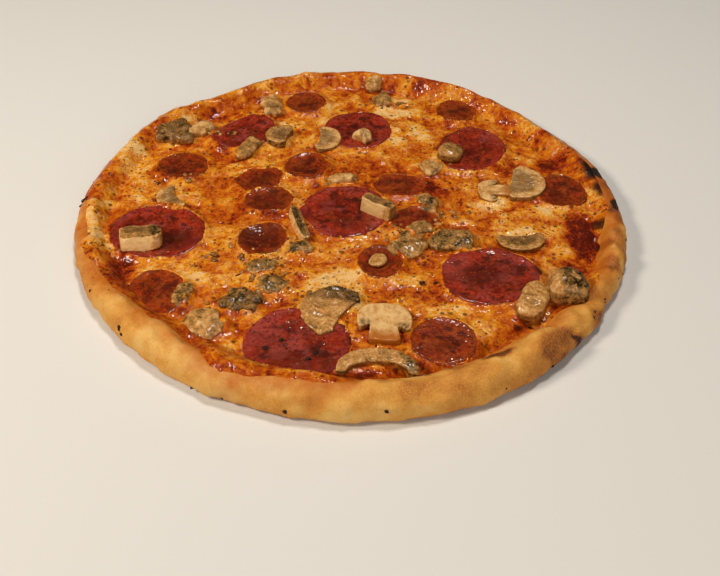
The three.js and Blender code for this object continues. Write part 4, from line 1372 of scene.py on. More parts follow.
class MushroomShaper:
    """Turns a raw closed form into an even fine mesh, the way a cook's knife and heat leave it."""

    voxel = 0.5

    def outline(self, piece: MushroomPiece, number: int) -> np.ndarray:
        """The piece's outline from above, each way from -1 to 1."""
        turn = np.linspace(0, 2 * math.pi, 72, endpoint=False)
        if piece.cut is Cut.LENGTHWISE:
            half, (left, right) = piece.stalk, piece.lobes
            return rounded_corners(np.array([
                (-half, -1), (half, -1), (half * 0.86, -0.6), (half * 0.8, right + 0.3), (0.72, right + 0.04),
                (0.9, right - 0.02), (1, right + 0.4), (0.97, 0.42), (0.66, 0.88), (0.05, 1.0), (-0.62, 0.92),
                (-0.97, 0.5), (-1, left + 0.3), (-0.92, left - 0.02), (-0.76, left), (-half * 0.86, left + 0.22),
                (-half * 0.9, -0.6),
            ]))
        if piece.cut is Cut.BOW:
            over = np.linspace(0.02, math.pi - 0.02, 36)
            outer = np.stack([np.cos(over), -1 + 2.0 * np.sin(over) ** 0.62], -1)
            back = np.linspace(math.pi - 0.1, 0.1, 30)
            inner = np.stack([(1 - 0.5 * piece.band) * np.cos(back),
                              -1 + 2.0 * (1 - piece.band) * np.sin(back) ** 0.7], -1)
            return np.concatenate([outer, inner])
        if piece.cut is Cut.SHELL:
            over = np.linspace(0.1, math.pi - 0.1, 36)
            outer = np.stack([np.cos(over), -1 + 2.0 * np.sin(over) ** 0.75], -1)
            back = np.linspace(math.pi, 0, 24)
            inner = np.stack([(1 - 0.35 * piece.band) * np.cos(back),
                              -1 + 2.0 * (1 - piece.band) * np.sin(back) ** 0.8], -1)
            return np.concatenate([outer, inner])
        power = 2 / piece.squareness
        c, s = np.cos(turn), np.sin(turn)
        even = np.stack([np.sign(c) * np.abs(c) ** power, np.sign(s) * np.abs(s) ** power], -1)
        uneven = {Cut.PULP: 0.3, Cut.ROUNDED: 0.1, Cut.BLOCK: 0.03}[piece.cut]
        size = {Cut.PULP: 1.06, Cut.ROUNDED: 0.96, Cut.BLOCK: 1.06}[piece.cut]
        own = flat(c, s, 7.3 * (number + piece.seed))
        wave = lattice_noise(own, 0.75, 68) + 0.5 * lattice_noise(own, 0.3, 69)
        return even * (size + uneven * wave)[:, None]

    def raw_form(self, piece: MushroomPiece, size: np.ndarray, number: int) -> Sheet:
        """Lofts the outline to its height, domed if the piece is rounded."""
        outline = self.outline(piece, number)
        outline[:, 1] = (outline[:, 1] + 1) * piece.long - 1
        outline = outline * size[:2] / 2
        if piece.cut is Cut.ROUNDED:
            dome = 1 - 1 / piece.squareness
            levels = [(0.86, -0.5), (1, -0.3), (1, 0.1), (0.9, 0.3), (dome, 0.46), (dome * 0.6, 0.5)]
        elif piece.cut is Cut.PULP:
            levels = [(0.9, -0.5), (1, -0.3), (0.98, 0.1), (0.86, 0.32), (0.6, 0.44), (0.3, 0.5)]
        elif piece.cut is Cut.BLOCK:
            levels = [(0.98, -0.5), (1, -0.44), (1, 0.44), (0.98, 0.5)]
        else:
            levels = [(0.94, -0.5), (1, -0.36), (1, 0.4), (0.97, 0.5)]
        middle = outline.mean(0)
        rings = []
        for s, z in levels:
            ring = middle + (outline - middle) * s
            if piece.cut is Cut.BLOCK:
                # The front side leans back, so that the top is only a narrow strip.
                ring[:, 1] = ring[:, 1] * (1 - 0.3 * (z + 0.5)) + 0.12 * (z + 0.5) * size[1]
            height = ((z + 0.5) * piece.thick - 0.5) * size[2]
            rings.append(np.column_stack([ring, np.full(len(ring), height)]))
        count = len(outline)
        faces = [tuple(range(count))[::-1], tuple(range((len(levels) - 1) * count, len(levels) * count))]
        for k in range(len(levels) - 1):
            a = k * count + np.arange(count)
            b = np.roll(a, -1)
            faces += [tuple(q) for q in np.stack([a, b, b + count, a + count], -1).tolist()]
        return Sheet(np.concatenate(rings), faces)

    def evened(self, raw: Sheet, rounds: int) -> Sheet:
        """Remeshes a closed form into small even faces and rounds its edges."""
        body = raw.to_object("mushroom_form")
        even = body.modifiers.new("even", "REMESH")
        even.mode = "VOXEL"
        even.voxel_size = self.voxel * MM
        soft = body.modifiers.new("soft", "SMOOTH")
        soft.factor = 0.5
        soft.iterations = rounds
        view = bpy.context.evaluated_depsgraph_get()
        mesh = bpy.data.meshes.new_from_object(body.evaluated_get(view))
        points = np.zeros(len(mesh.vertices) * 3, dtype=np.float32)
        mesh.vertices.foreach_get("co", points)
        faces = [tuple(p.vertices) for p in mesh.polygons]
        bare = body.data
        bpy.data.objects.remove(body)
        bpy.data.meshes.remove(bare)
        bpy.data.meshes.remove(mesh)
        return Sheet(points.reshape(-1, 3).astype(float) / MM, faces)


def vertex_normals(sheet: Sheet) -> np.ndarray:
    """Normals of a surface's points, from the faces round them."""
    corners = np.array([f[:3] for f in sheet.faces])
    a, b, c = (sheet.points[corners[:, k]] for k in range(3))
    face_normal = np.cross(b - a, c - a)
    normal = np.zeros_like(sheet.points)
    for k in range(3):
        np.add.at(normal, corners[:, k], face_normal)
    if len(sheet.faces[0]) == 4:
        np.add.at(normal, np.array([f[3] for f in sheet.faces]), face_normal)
    return normal / np.maximum(np.linalg.norm(normal, axis=1, keepdims=True), 1e-9)


@dataclass
class Mushrooms:
    """All pieces of mushroom."""

    ground: Ground
    pieces: tuple[MushroomPiece, ...]
    gill_spacing: float = 1.4  # coarser than the real 1 mm, so that the gills show
    lies: dict[str, tuple[Matrix, np.ndarray]] = field(default_factory=dict)

    def __post_init__(self) -> None:
        """Measures each piece's place."""
        self.lies = {piece.node: self._lie(piece) for piece in self.pieces}

    def build(self) -> list[bpy.types.Object]:
        """Builds every piece and dresses it.

        Returns:
            The pieces.
        """
        material = CookedChampignon().material()
        shaper = MushroomShaper()
        made = []
        for number, piece in enumerate(self.pieces):
            sheet = self._piece(piece, shaper, number)
            body = sheet.to_object(piece.node + "_cooked")
            body.data.materials.append(material)
            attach(body, "root")
            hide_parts(piece.node)
            made.append(body)
        return made

    def clear_of_melt(self, piece: MushroomPiece) -> bool:
        """Whether the piece lies on a slice of salami, out of the melt's reach."""
        return piece.sunk == 0

    def outside(self, piece: MushroomPiece, x: np.ndarray, y: np.ndarray) -> np.ndarray:
        """Rough distance in mm from the piece's outline, negative inside it."""
        place, size = self.lies[piece.node]
        turn = place.to_3x3().inverted()
        dx, dy = x - place.translation.x, y - place.translation.y
        u = (turn[0][0] * dx + turn[0][1] * dy) / (size[0] / 2)
        v = (turn[1][0] * dx + turn[1][1] * dy) / (size[1] / 2)
        return (np.hypot(u, v) - 0.95) * min(size[0], size[1]) / 2

    def _lie(self, piece: MushroomPiece) -> tuple[Matrix, np.ndarray]:
        """How a piece lies, from its solid and the slope of the melt under it.

        Returns:
            The matrix from its own axes to the pizza's, and its size, in mm.
        """
        points = Probe(piece.node).points
        x, y = (points.min(0) + points.max(0))[:2] / 2
        reach = 5.0
        near = np.array([x + reach, x - reach, x, x]), np.array([y, y, y + reach, y - reach])
        east_high, east_low, north_high, north_low = self.ground.melt_top(*near)
        normal = Vector((east_low - east_high, north_low - north_high, 2 * reach)).normalized()
        lean = Vector((0, 0, 1)).rotation_difference(normal).to_matrix()
        spin = (lean @ Matrix.Rotation(math.radians(piece.turn), 3, "Z")).to_4x4()
        local = points @ np.array(spin.to_3x3())
        low, high = local.min(0), local.max(0)
        middle = spin.to_3x3() @ Vector((low + high) / 2)
        return Matrix.Translation(middle) @ spin, high - low

    def _piece(self, piece: MushroomPiece, shaper: MushroomShaper, number: int) -> Sheet:
        """One piece: its cut form, softened, wrinkled and coloured."""
        place, size = self.lies[piece.node]
        soft = piece.cut in (Cut.ROUNDED, Cut.PULP)
        sheet = shaper.evened(shaper.raw_form(piece, size, number), 4 if soft else 2)
        half = size / 2
        x, y, z = (sheet.points / half).T
        normal = vertex_normals(sheet)
        own = sheet.points + 100.0 * (number + 1 + piece.seed)
        gill = self._gills(piece, sheet.points, half, normal)
        if piece.cut is Cut.PULP:
            gill = np.maximum(gill, 0.8 * ease(0.0, 0.5, normal[:, 2]) * ease(0.0, 0.5, lattice_noise(own, 7, 74)))
        across = self._across_gills(piece, sheet.points, half) + 0.9 * lattice_noise(own, 5.5, 69)
        ridge = 0.5 + 0.5 * np.sin(2 * math.pi * across / self.gill_spacing)
        ridge = ridge * (0.65 + 0.5 * lattice_noise(own, 3.5, 70))
        fold = 0.5 - np.abs(rough_noise(own * [1, 0.5, 1], 4.5, 66, 2))
        move = piece.ruffle * (0.8 * rough_noise(own, 9, 61, 2) + 0.7 * fold - 0.2) + 0.12 * lattice_noise(own, 2.0, 62)
        move -= gill * (0.4 - 0.5 * ridge)
        # Heat lets a flat piece sag and curl a little.
        sag = 0.16 * size[2] * lattice_noise(own * [1, 1, 0], 0.6 * max(size[0], size[1]), 63)
        points = sheet.points + normal * move[:, None]
        points[:, 2] += sag
        fibres = rough_noise(own * [1, 0.35, 1], 2.6, 72, 2)
        # The right end is darkened: painted shade, as on the side away from the key light.
        tone = piece.tone + 0.2 * rough_noise(own, 6, 64, 3) + 0.12 * fibres + piece.shaded_right_end * ease(0.3, 0.8, x)
        # Hollows between the folds are darker and their crests paler: painted shade and painted highlight.
        tone += 0.16 * (0.3 - fold) * piece.ruffle
        # Faces that slope between top and side are paler: a painted highlight where cut edges catch the light.
        edge = ease(0.12, 0.4, normal[:, 2]) * ease(0.97, 0.8, normal[:, 2])
        tone -= 0.12 * edge
        if piece.cut is Cut.BLOCK:
            # A block's top is darker with its gills, and faces turned to the front are paler: painted light from the
            # front.
            tone += 0.34 * ease(0.8, 0.96, normal[:, 2]) - 0.1 * ease(-0.3, -0.7, normal[:, 1])
        if piece.cut is Cut.PULP:
            tone += 0.3 * lattice_noise(own, 5, 75)
        # Faces that turn sideways or down are darker: the browner skin on a cap's outer side, and painted shade on
        # every piece.
        tone += (0.36 if piece.cut in (Cut.LENGTHWISE, Cut.BOW, Cut.SHELL) else 0.12) * ease(0.3, -0.1, normal[:, 2])
        if piece.ring:
            away = np.hypot(x - 0.24, y - 0.02) + 0.06 * fibres
            # Besides the ring, the right side is darkened and the left side lightened: painted shade and painted light,
            # as from the key light on the left.
            tone += piece.ring * (ease(0.22, 0.34, away) * ease(0.86, 0.66, away) + 0.6 * ease(0.5, 0.85, x))
            tone -= 0.3 * ease(0.3, 0.2, away) + 0.2 * ease(-0.2, -0.6, x)
        oil = piece.oiled * ease(0.1, -0.7, z + 0.3 * rough_noise(own, 4, 65, 2))
        if piece.cut is Cut.LENGTHWISE:
            oil = np.maximum(oil, piece.oiled * ease(-0.3, -0.95, y + 0.25 * fibres))
            tone += 0.2 * ease(-0.5, -1.0, y) * (0.5 + fibres)
        matrix = np.array(place)
        sheet.points = points @ matrix[:3, :3].T + matrix[:3, 3]
        sheet.paint = {
            "tone": np.clip(tone, 0, 1),
            "gill": np.clip(gill * (0.75 - 0.8 * ridge), 0, 1),
            "oil": np.clip(oil, 0, 1),
        }
        return sheet

    def _across_gills(self, piece: MushroomPiece, points: np.ndarray, half: np.ndarray) -> np.ndarray:
        """Distance across the gills, whose ridges run the other way."""
        x, y, _ = points.T
        if piece.gills in (Gills.TOP_BAND, Gills.BACK_BAND):
            return y + 0.15 * x
        if piece.gills in (Gills.INNER, Gills.UNDER_CAP):
            return np.arctan2(y + 1.2 * half[1], x) * 0.8 * half[0]
        if piece.gills is Gills.STREAKS:
            return np.arctan2(y, x + 1.3 * half[0]) * 1.2 * half[0]
        return y + 0.3 * x

    def _gills(self, piece: MushroomPiece, points: np.ndarray, half: np.ndarray, normal: np.ndarray) -> np.ndarray:
        """How far each place shows gills, from 0 to 1."""
        x, y, z = (points / half).T
        up = ease(0.2, 0.6, normal[:, 2])
        if piece.gills is Gills.TOP_BAND:
            return up * ease(0.62, 0.4, np.abs(y - 0.05)) * ease(0.95, 0.7, np.abs(x))
        if piece.gills is Gills.BACK_BAND:
            return up * ease(0.0, 0.25, y) * ease(0.98, 0.8, y) * ease(0.98, 0.8, np.abs(x))
        if piece.gills is Gills.UNDER_CAP:
            left, right = piece.lobes
            lobe = np.where(x < 0, left, right)
            beside = ease(piece.stalk * 0.72, piece.stalk * 0.95, np.abs(x)) * ease(0.95, 0.8, np.abs(x))
            return beside * ease(lobe + 0.5, lobe + 0.25, y) * ease(lobe - 0.1, lobe + 0.1, y)
        if piece.gills is Gills.INNER:
            bow = np.hypot(x, (y + 1) / 2)
            return up * ease(0.86, 0.66, bow)
        if piece.gills is Gills.STREAKS:
            return ease(-0.2, 0.3, normal[:, 2])
        if piece.gills is Gills.FAR_END:
            return ease(0.05, 0.5, x + 0.4 * y) * ease(-0.3, 0.2, normal[:, 2])
        return np.zeros(len(points))


# ---- Small things -------------------------------------------------------------------------------


class Surface:
    """What small things can lie on: the upper side of the crust, the melt and the slices together."""

    def __init__(self, bodies: list[bpy.types.Object]) -> None:
        """Joins the bodies' meshes for ray casts.

        Args:
            bodies: The pieces already built.
        """
        points, faces = [], []
        for body in bodies:
            start = len(points)
            points += [v.co / MM for v in body.data.vertices]
            faces += [tuple(i + start for i in p.vertices) for p in body.data.polygons]
        self.tree = BVHTree.FromPolygons(points, faces)

    def below(self, x: float, y: float) -> tuple[Vector, Vector] | None:
        """The place straight below a point over the pizza, and the surface's normal there."""
        place, normal, _, _ = self.tree.ray_cast(Vector((x, y, ABOVE_ALL)), DOWN)
        return (place, normal) if place else None

    def beside(self, angle: float, level: float) -> tuple[Vector, Vector] | None:
        """The place on the rim's outer side at an angle and a height, and the normal there."""
        away = Vector((math.cos(math.radians(angle)), math.sin(math.radians(angle)), 0))
        place, normal, _, _ = self.tree.ray_cast(away * 400 + Vector((0, 0, level)), -away)
        return (place, normal) if place else None


@dataclass(frozen=True)
class Sprinkle:
    """Where one kind of small thing was strewn, how many and how wide. Places and sizes in mm."""

    at: tuple[float, float]
    size: tuple[float, float]
    count: int
    widths: tuple[float, float]

    def places(self, draw: np.random.Generator) -> list[tuple[float, float, float]]:
        """Draws places and widths, denser towards the middle of the oval."""
        found = []
        for _ in range(self.count):
            turn, away = draw.uniform(0, 2 * math.pi), draw.uniform() ** 0.6
            x = self.at[0] + self.size[0] / 2 * away * math.cos(turn)
            y = self.at[1] + self.size[1] / 2 * away * math.sin(turn)
            found.append((x, y, self.widths[0] + (self.widths[1] - self.widths[0]) * draw.uniform() ** 2))
        return found


def chip(place: Vector, normal: Vector, width: float, height: float, rough: float, rings: int, sides: int,
         draw: np.random.Generator) -> Sheet:
    """One uneven chip, bead or crumb, half sunk in what it lies on.

    Args:
        place: Where it lies, in mm.
        normal: The direction away from the surface there.
        width: Its width in mm.
        height: Its height as a share of its width.
        rough: How uneven it is, 0 for a smooth bead.
        rings: Rings of faces from its top to its bottom.
        sides: Faces round it.
        draw: The source of random numbers.

    Returns:
        The chip.
    """
    ball = rounded_ball(rings, sides)
    points = ball.points * [1, draw.uniform(0.55, 1), height] * width / 2
    points *= 1 + rough * lattice_noise(ball.points * 10 + draw.uniform(0, 500), 9, 71)[:, None]
    turn = Vector((0, 0, 1)).rotation_difference(normal).to_matrix() @ Matrix.Rotation(
        draw.uniform(0, 2 * math.pi), 3, "Z")
    return Sheet(points @ np.array(turn).T + np.array(place), ball.faces)


@dataclass
class Scatterings:
    """The small things strewn over the pizza, one joined piece for each kind."""

    surface: Surface
    rim_char: tuple[tuple[float, float, float], ...] = (
        # angle round the rim, height on its outer side and width of each burnt fleck
        (-137.5, 9.2, 3.0), (-136.4, 7.6, 2.0), (-150.1, 9.8, 1.6), (-100.1, 6.1, 2.2), (-82.9, 8.9, 2.4),
        (-36.0, 9.5, 1.6), (-34.9, 10.7, 1.4), (-29.5, 8.5, 1.6), (-29.9, 7.5, 1.2), (-9.4, 8.6, 1.6),
        (-19.0, 5.2, 1.4), (-22.0, 8.0, 1.2), (-61.0, 6.0, 1.2), (-50.0, 4.0, 1.8), (-118.0, 3.0, 2.0),
        (-112.0, 2.5, 1.4), (179.0, 9.0, 3.2), (-179.6, 8.0, 2.4), (178.2, 10.0, 2.0), (171.0, 7.0, 1.2),
        (28.0, 6.0, 1.6), (64.0, 8.0, 1.6), (96.0, 9.0, 1.4), (118.0, 7.0, 1.6), (147.0, 8.0, 1.4),
    )
    pepper: tuple[Sprinkle, ...] = (
        Sprinkle((-39.3, -112.5), (2, 2), 2, (2.2, 2.8)),
        Sprinkle((-31.1, -106.8), (1, 2), 2, (1.8, 2.4)),
        Sprinkle((-18.8, -120.1), (3, 1), 2, (2.2, 2.8)),
        Sprinkle((-14.3, -116.0), (1, 1), 2, (2.0, 2.6)),
        Sprinkle((38.5, -63.6), (3, 3), 5, (1.0, 2.4)),
        Sprinkle((45.2, -63.4), (2, 3), 4, (1.0, 2.0)),
        Sprinkle((-70.5, -44.3), (5, 2), 3, (0.9, 1.6)),
        Sprinkle((84.1, -93.8), (4, 2), 3, (1.0, 1.6)),
        Sprinkle((-112.0, 22.5), (6, 4), 5, (1.0, 2.2)),
    )
    chilli: tuple[Sprinkle, ...] = (
        Sprinkle((0, -4), (270, 262), 300, (0.6, 1.7)),
        Sprinkle((72, 16), (60, 44), 110, (0.6, 1.8)),
        Sprinkle((100, -8), (52, 44), 80, (0.6, 1.8)),
        Sprinkle((74, -58), (38, 36), 70, (0.8, 2.3)),
        Sprinkle((-4, -6), (40, 36), 34, (0.6, 1.5)),
        Sprinkle((-30, -110), (44, 26), 26, (0.6, 1.4)),
        Sprinkle((-104, -26), (44, 40), 34, (0.6, 1.4)),
        Sprinkle((2, 82), (36, 34), 30, (0.6, 1.4)),
        Sprinkle((72, 62), (36, 34), 30, (0.6, 1.4)),
        Sprinkle((-66, 78), (38, 30), 34, (0.6, 1.5)),
        Sprinkle((-47, -32), (26, 24), 30, (0.7, 1.6)),
        Sprinkle((-47, 7), (26, 24), 24, (0.6, 1.4)),
        Sprinkle((28, 24), (40, 18), 34, (0.6, 1.5)),
        Sprinkle((47, -106), (30, 26), 18, (0.6, 1.3)),
        Sprinkle((-122, -62), (26, 40), 60, (0.6, 1.6)),
        Sprinkle((128, -18), (14, 40), 50, (0.6, 1.8)),
        Sprinkle((58, 118), (60, 26), 60, (0.5, 1.4)),
        Sprinkle((-20, -62), (60, 30), 34, (0.5, 1.3)),
    )
    beads: tuple[Sprinkle, ...] = (
        Sprinkle((0, -4), (262, 254), 300, (0.6, 2.0)),
        Sprinkle((-20, -100), (60, 40), 60, (0.6, 1.8)),
        Sprinkle((20, -118), (44, 14), 40, (0.8, 2.6)),
        Sprinkle((-46, -34), (24, 22), 26, (0.8, 2.2)),
        Sprinkle((74, -58), (42, 40), 40, (0.6, 1.6)),
        Sprinkle((-102, -26), (44, 40), 34, (0.6, 1.8)),
        Sprinkle((40, -24), (50, 30), 60, (0.7, 2.0)),
        Sprinkle((-46, -62), (30, 40), 60, (0.7, 2.0)),
        Sprinkle((18, -86), (34, 24), 34, (0.6, 1.8)),
    )
    crumbs: tuple[Sprinkle, ...] = (
        Sprinkle((34, 114), (12, 6), 6, (2.0, 5.0)),
        Sprinkle((-96, 26), (14, 8), 5, (2.0, 5.0)),
        Sprinkle((93.5, 17), (8, 14), 9, (3.0, 6.5)),
        Sprinkle((40, -26), (44, 26), 30, (1.6, 5.0)),
        Sprinkle((-44, -60), (26, 34), 24, (1.6, 4.6)),
        Sprinkle((-8, 26), (22, 10), 8, (1.6, 4.0)),
        Sprinkle((-84, 78), (30, 14), 12, (1.6, 4.4)),
        Sprinkle((-8, -72), (24, 16), 12, (1.4, 4.0)),
        Sprinkle((-60, -86), (34, 20), 12, (1.4, 4.0)),
        Sprinkle((50, 44), (22, 12), 8, (1.6, 4.0)),
        Sprinkle((15, 112), (22, 12), 8, (1.4, 3.6)),
        Sprinkle((-54, 62), (26, 18), 10, (1.4, 3.6)),
        Sprinkle((60, -6), (40, 12), 12, (1.6, 4.4)),
        Sprinkle((-66, -40), (34, 18), 12, (1.6, 4.6)),
    )

    def build(self) -> None:
        """Builds each kind and dresses it."""
        draw = np.random.default_rng(5)
        on_side = [(self.surface.beside(angle, level), width) for angle, level, width in self.rim_char]
        burnt = [chip(*spot, width, 0.7, 0.4, 8, 10, draw) for spot, width in on_side if spot]
        burnt += self._strewn(self.pepper, 0.75, 0.35, 8, 10, draw)
        self._finish(burnt, "pepper_and_char", CharredFleck().material())
        self._finish(self._strewn(self.chilli, 0.35, 0.4, 4, 6, draw), "chilli_flakes",
                     CharredFleck("chilli_dried_crushed", "#741C08", "#A83C12", 0.4).material())
        self._finish(self._strewn(self.beads, 0.32, 0.06, 6, 12, draw), "oil_beads", CookingOil().material())
        crumbs = self._strewn(self.crumbs, 0.5, 0.5, 12, 18, draw)
        self._finish(crumbs, "mushroom_crumbs", CookedChampignon("champignon_crumbs").material())

    def _strewn(self, sprinkles: tuple[Sprinkle, ...], height: float, rough: float, rings: int, sides: int,
                draw: np.random.Generator) -> list[Sheet]:
        """Drops one kind of thing from above onto whatever is there."""
        made = []
        for sprinkle in sprinkles:
            for x, y, width in sprinkle.places(draw):
                spot = self.surface.below(x, y)
                if spot:
                    made.append(chip(*spot, width, height, rough, rings, sides, draw))
        return made

    def _finish(self, sheets: list[Sheet], name: str, material: bpy.types.Material) -> None:
        """Joins the things of one kind into a piece and dresses it."""
        whole = joined(sheets)
        if name == "mushroom_crumbs":
            whole.paint = {
                "tone": np.clip(0.6 + 0.5 * rough_noise(whole.points, 7, 73, 2), 0, 1),
                "gill": np.zeros(len(whole.points)),
                "oil": np.full(len(whole.points), 0.25),
            }
        piece = whole.to_object(name)
        piece.data.materials.append(material)
        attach(piece, "root")
        log.info("%s: %d faces", name, len(piece.data.polygons))


def rounded_ball(rings: int, sides: int) -> Sheet:
    """A ball of radius 1 from rings of points between two poles."""
    points = [[0, 0, 1]]
    for ring in range(1, rings):
        polar = math.pi * ring / rings
        for side in range(sides):
            turn = 2 * math.pi * side / sides
            points.append([math.sin(polar) * math.cos(turn), math.sin(polar) * math.sin(turn), math.cos(polar)])
    points.append([0, 0, -1])
    faces = []
    for side in range(sides):
        nxt = (side + 1) % sides
        faces.append((0, 1 + side, 1 + nxt))
        for ring in range(rings - 2):
            a, b = 1 + ring * sides, 1 + (ring + 1) * sides
            faces.append((a + side, b + side, b + nxt, a + nxt))
        last = 1 + (rings - 2) * sides
        faces.append((last + side, len(points) - 1, last + nxt))
    return Sheet(np.array(points, dtype=float), faces)


# ---- Studio -------------------------------------------------------------------------------------


@dataclass
class Studio:
    """Plain floor, soft lights and the camera."""

    lens: float = 50.0
    elevation: float = 40.9607
    distance: float = 524.798
    aim: tuple[float, float] = (6.094, -58.322)  # where the view's middle meets the floor, in mm
    roll: float = 0.9223
    floor_width: float = 6.0
    floor_colour: str = "#D9D7D3"

    def build(self) -> None:
        """Makes the camera, the floor and the lights."""
        scene = bpy.context.scene
        scene.view_settings.view_transform = "Standard"
        up_angle = math.radians(self.elevation)
        back = Vector((0, -math.cos(up_angle), math.sin(up_angle)))
        right = Vector((1, 0, 0))
        up = right.cross(-back)
        turn = math.radians(self.roll)
        turned_right = right * math.cos(turn) + up * math.sin(turn)
        turned_up = up * math.cos(turn) - right * math.sin(turn)
        data = bpy.data.cameras.new("camera")
        data.lens = self.lens
        data.sensor_width = 36.0
        data.dof.use_dof = False
        camera = bpy.data.objects.new("camera", data)
        camera.matrix_world = Matrix.Translation((Vector((*self.aim, 0)) + back * self.distance) * MM) @ Matrix(
            (turned_right, turned_up, back)).transposed().to_4x4()
        scene.collection.objects.link(camera)
        scene.camera = camera
        self._floor()
        world = bpy.data.worlds.new("studio")
        world.use_nodes = True
        world.node_tree.nodes["Background"].inputs["Color"].default_value = srgb("#F2E9DD")
        world.node_tree.nodes["Background"].inputs["Strength"].default_value = 0.05
        scene.world = world
        self._lamp("key_softbox", (-0.85, -0.3, 0.8), 0.24, 9.8, "#FFF3E2")
        self._lamp("overhead_softbox", (0.1, 0.25, 1.1), 0.2, 6.2, "#FFFAF2")
        self._lamp("front_fill", (0.5, -1.0, 0.55), 0.7, 5.0, "#FFF6EC")

    def _floor(self) -> None:
        """A plain pale floor."""
        half = self.floor_width / 2
        mesh = bpy.data.meshes.new("floor")
        mesh.from_pydata([(-half, -half, 0), (half, -half, 0), (half, half, 0), (-half, half, 0)], [], [(0, 1, 2, 3)])
        floor = bpy.data.objects.new("floor", mesh)
        bpy.context.scene.collection.objects.link(floor)
        g = Graph("studio_floor_matt")
        shader = g.add("BsdfPrincipled", {"Base Color": srgb(self.floor_colour), "Roughness": 0.85})
        g.add("OutputMaterial", {"Surface": shader.outputs["BSDF"]})
        mesh.materials.append(g.material)

    def _lamp(self, name: str, at: tuple[float, float, float], width: float, power: float, colour: str) -> None:
        """A square softbox aimed at the pizza."""
        data = bpy.data.lights.new(name, "AREA")
        data.size = width
        data.energy = power
        data.color = srgb(colour)[:3]
        lamp = bpy.data.objects.new(name, data)
        lamp.location = at
        lamp.rotation_mode = "QUATERNION"
        lamp.rotation_quaternion = (-Vector(at)).to_track_quat("-Z", "Y")
        bpy.context.scene.collection.objects.link(lamp)


# ---- The pizza ----------------------------------------------------------------------------------

WIDE_SLICES = (
    Slice("salami_wide_01", 1, 0.3, burns=(Patch((-6, -1), (22, 12), 0, 0.5), Patch((11, -8), (26, 18), 20, 0.8)),
          hidden=(Patch((6, 23), (14, 10), 0, 1.0),)),
    Slice("salami_wide_02", 2, 0.2, burns=(Patch((4, -12), (24, 14), 0, 0.5), Patch((-10, 4), (14, 12), 0, 0.35))),
    Slice("salami_wide_03", 3, 0.2, burns=(Patch((-4, 1), (26, 18), 0, 0.7), Patch((12, 5), (14, 10), 0, 0.6)),
          blush=(Patch((-19, 5), (14, 22), 20, 0.6), Patch((15, 12), (22, 8), -25, 0.55))),
    Slice("salami_wide_04", 4, 0.2, (Lift(-95, 60, 2.2, 0.8),), (Patch((0, -12), (34, 14), 0, 0.5),),
          (Patch((-17, 8), (18, 26), 0, 0.7),)),
    Slice("salami_wide_05", 5, 0.2),
    Slice("salami_wide_06", 6, 0.2),
    Slice("salami_wide_07", 7, 0.4, (Lift(60, 50, 2.0, 0.5),)),
)

NARROW_SLICES = (
    Slice("salami_narrow_01", 11, 0.3),
    Slice("salami_narrow_02", 12, 0.8),
    Slice("salami_narrow_03", 13, 0.4),
    Slice("salami_narrow_04", 14, 0.3, (Lift(60, 50, 1.2, 0.7),), (Patch((-2, 3), (26, 20), 0, 0.8),)),
    Slice("salami_narrow_05", 15, 0.3, (Lift(-90, 70, 1.0, 0.75),), (Patch((2, 0), (24, 16), 0, 0.45),)),
    Slice("salami_narrow_06", 16, 0.6),
    Slice("salami_narrow_07", 17, 0.3),
    Slice("salami_narrow_08", 18, 0.4),
    Slice("salami_narrow_09", 19, 0.8),
    Slice("salami_narrow_10", 20, 0.5),
    Slice("salami_narrow_11", 21, 1.6),
    Slice("salami_narrow_12", 22, 1.6),
    Slice("salami_narrow_13", 23, 2.8),
)

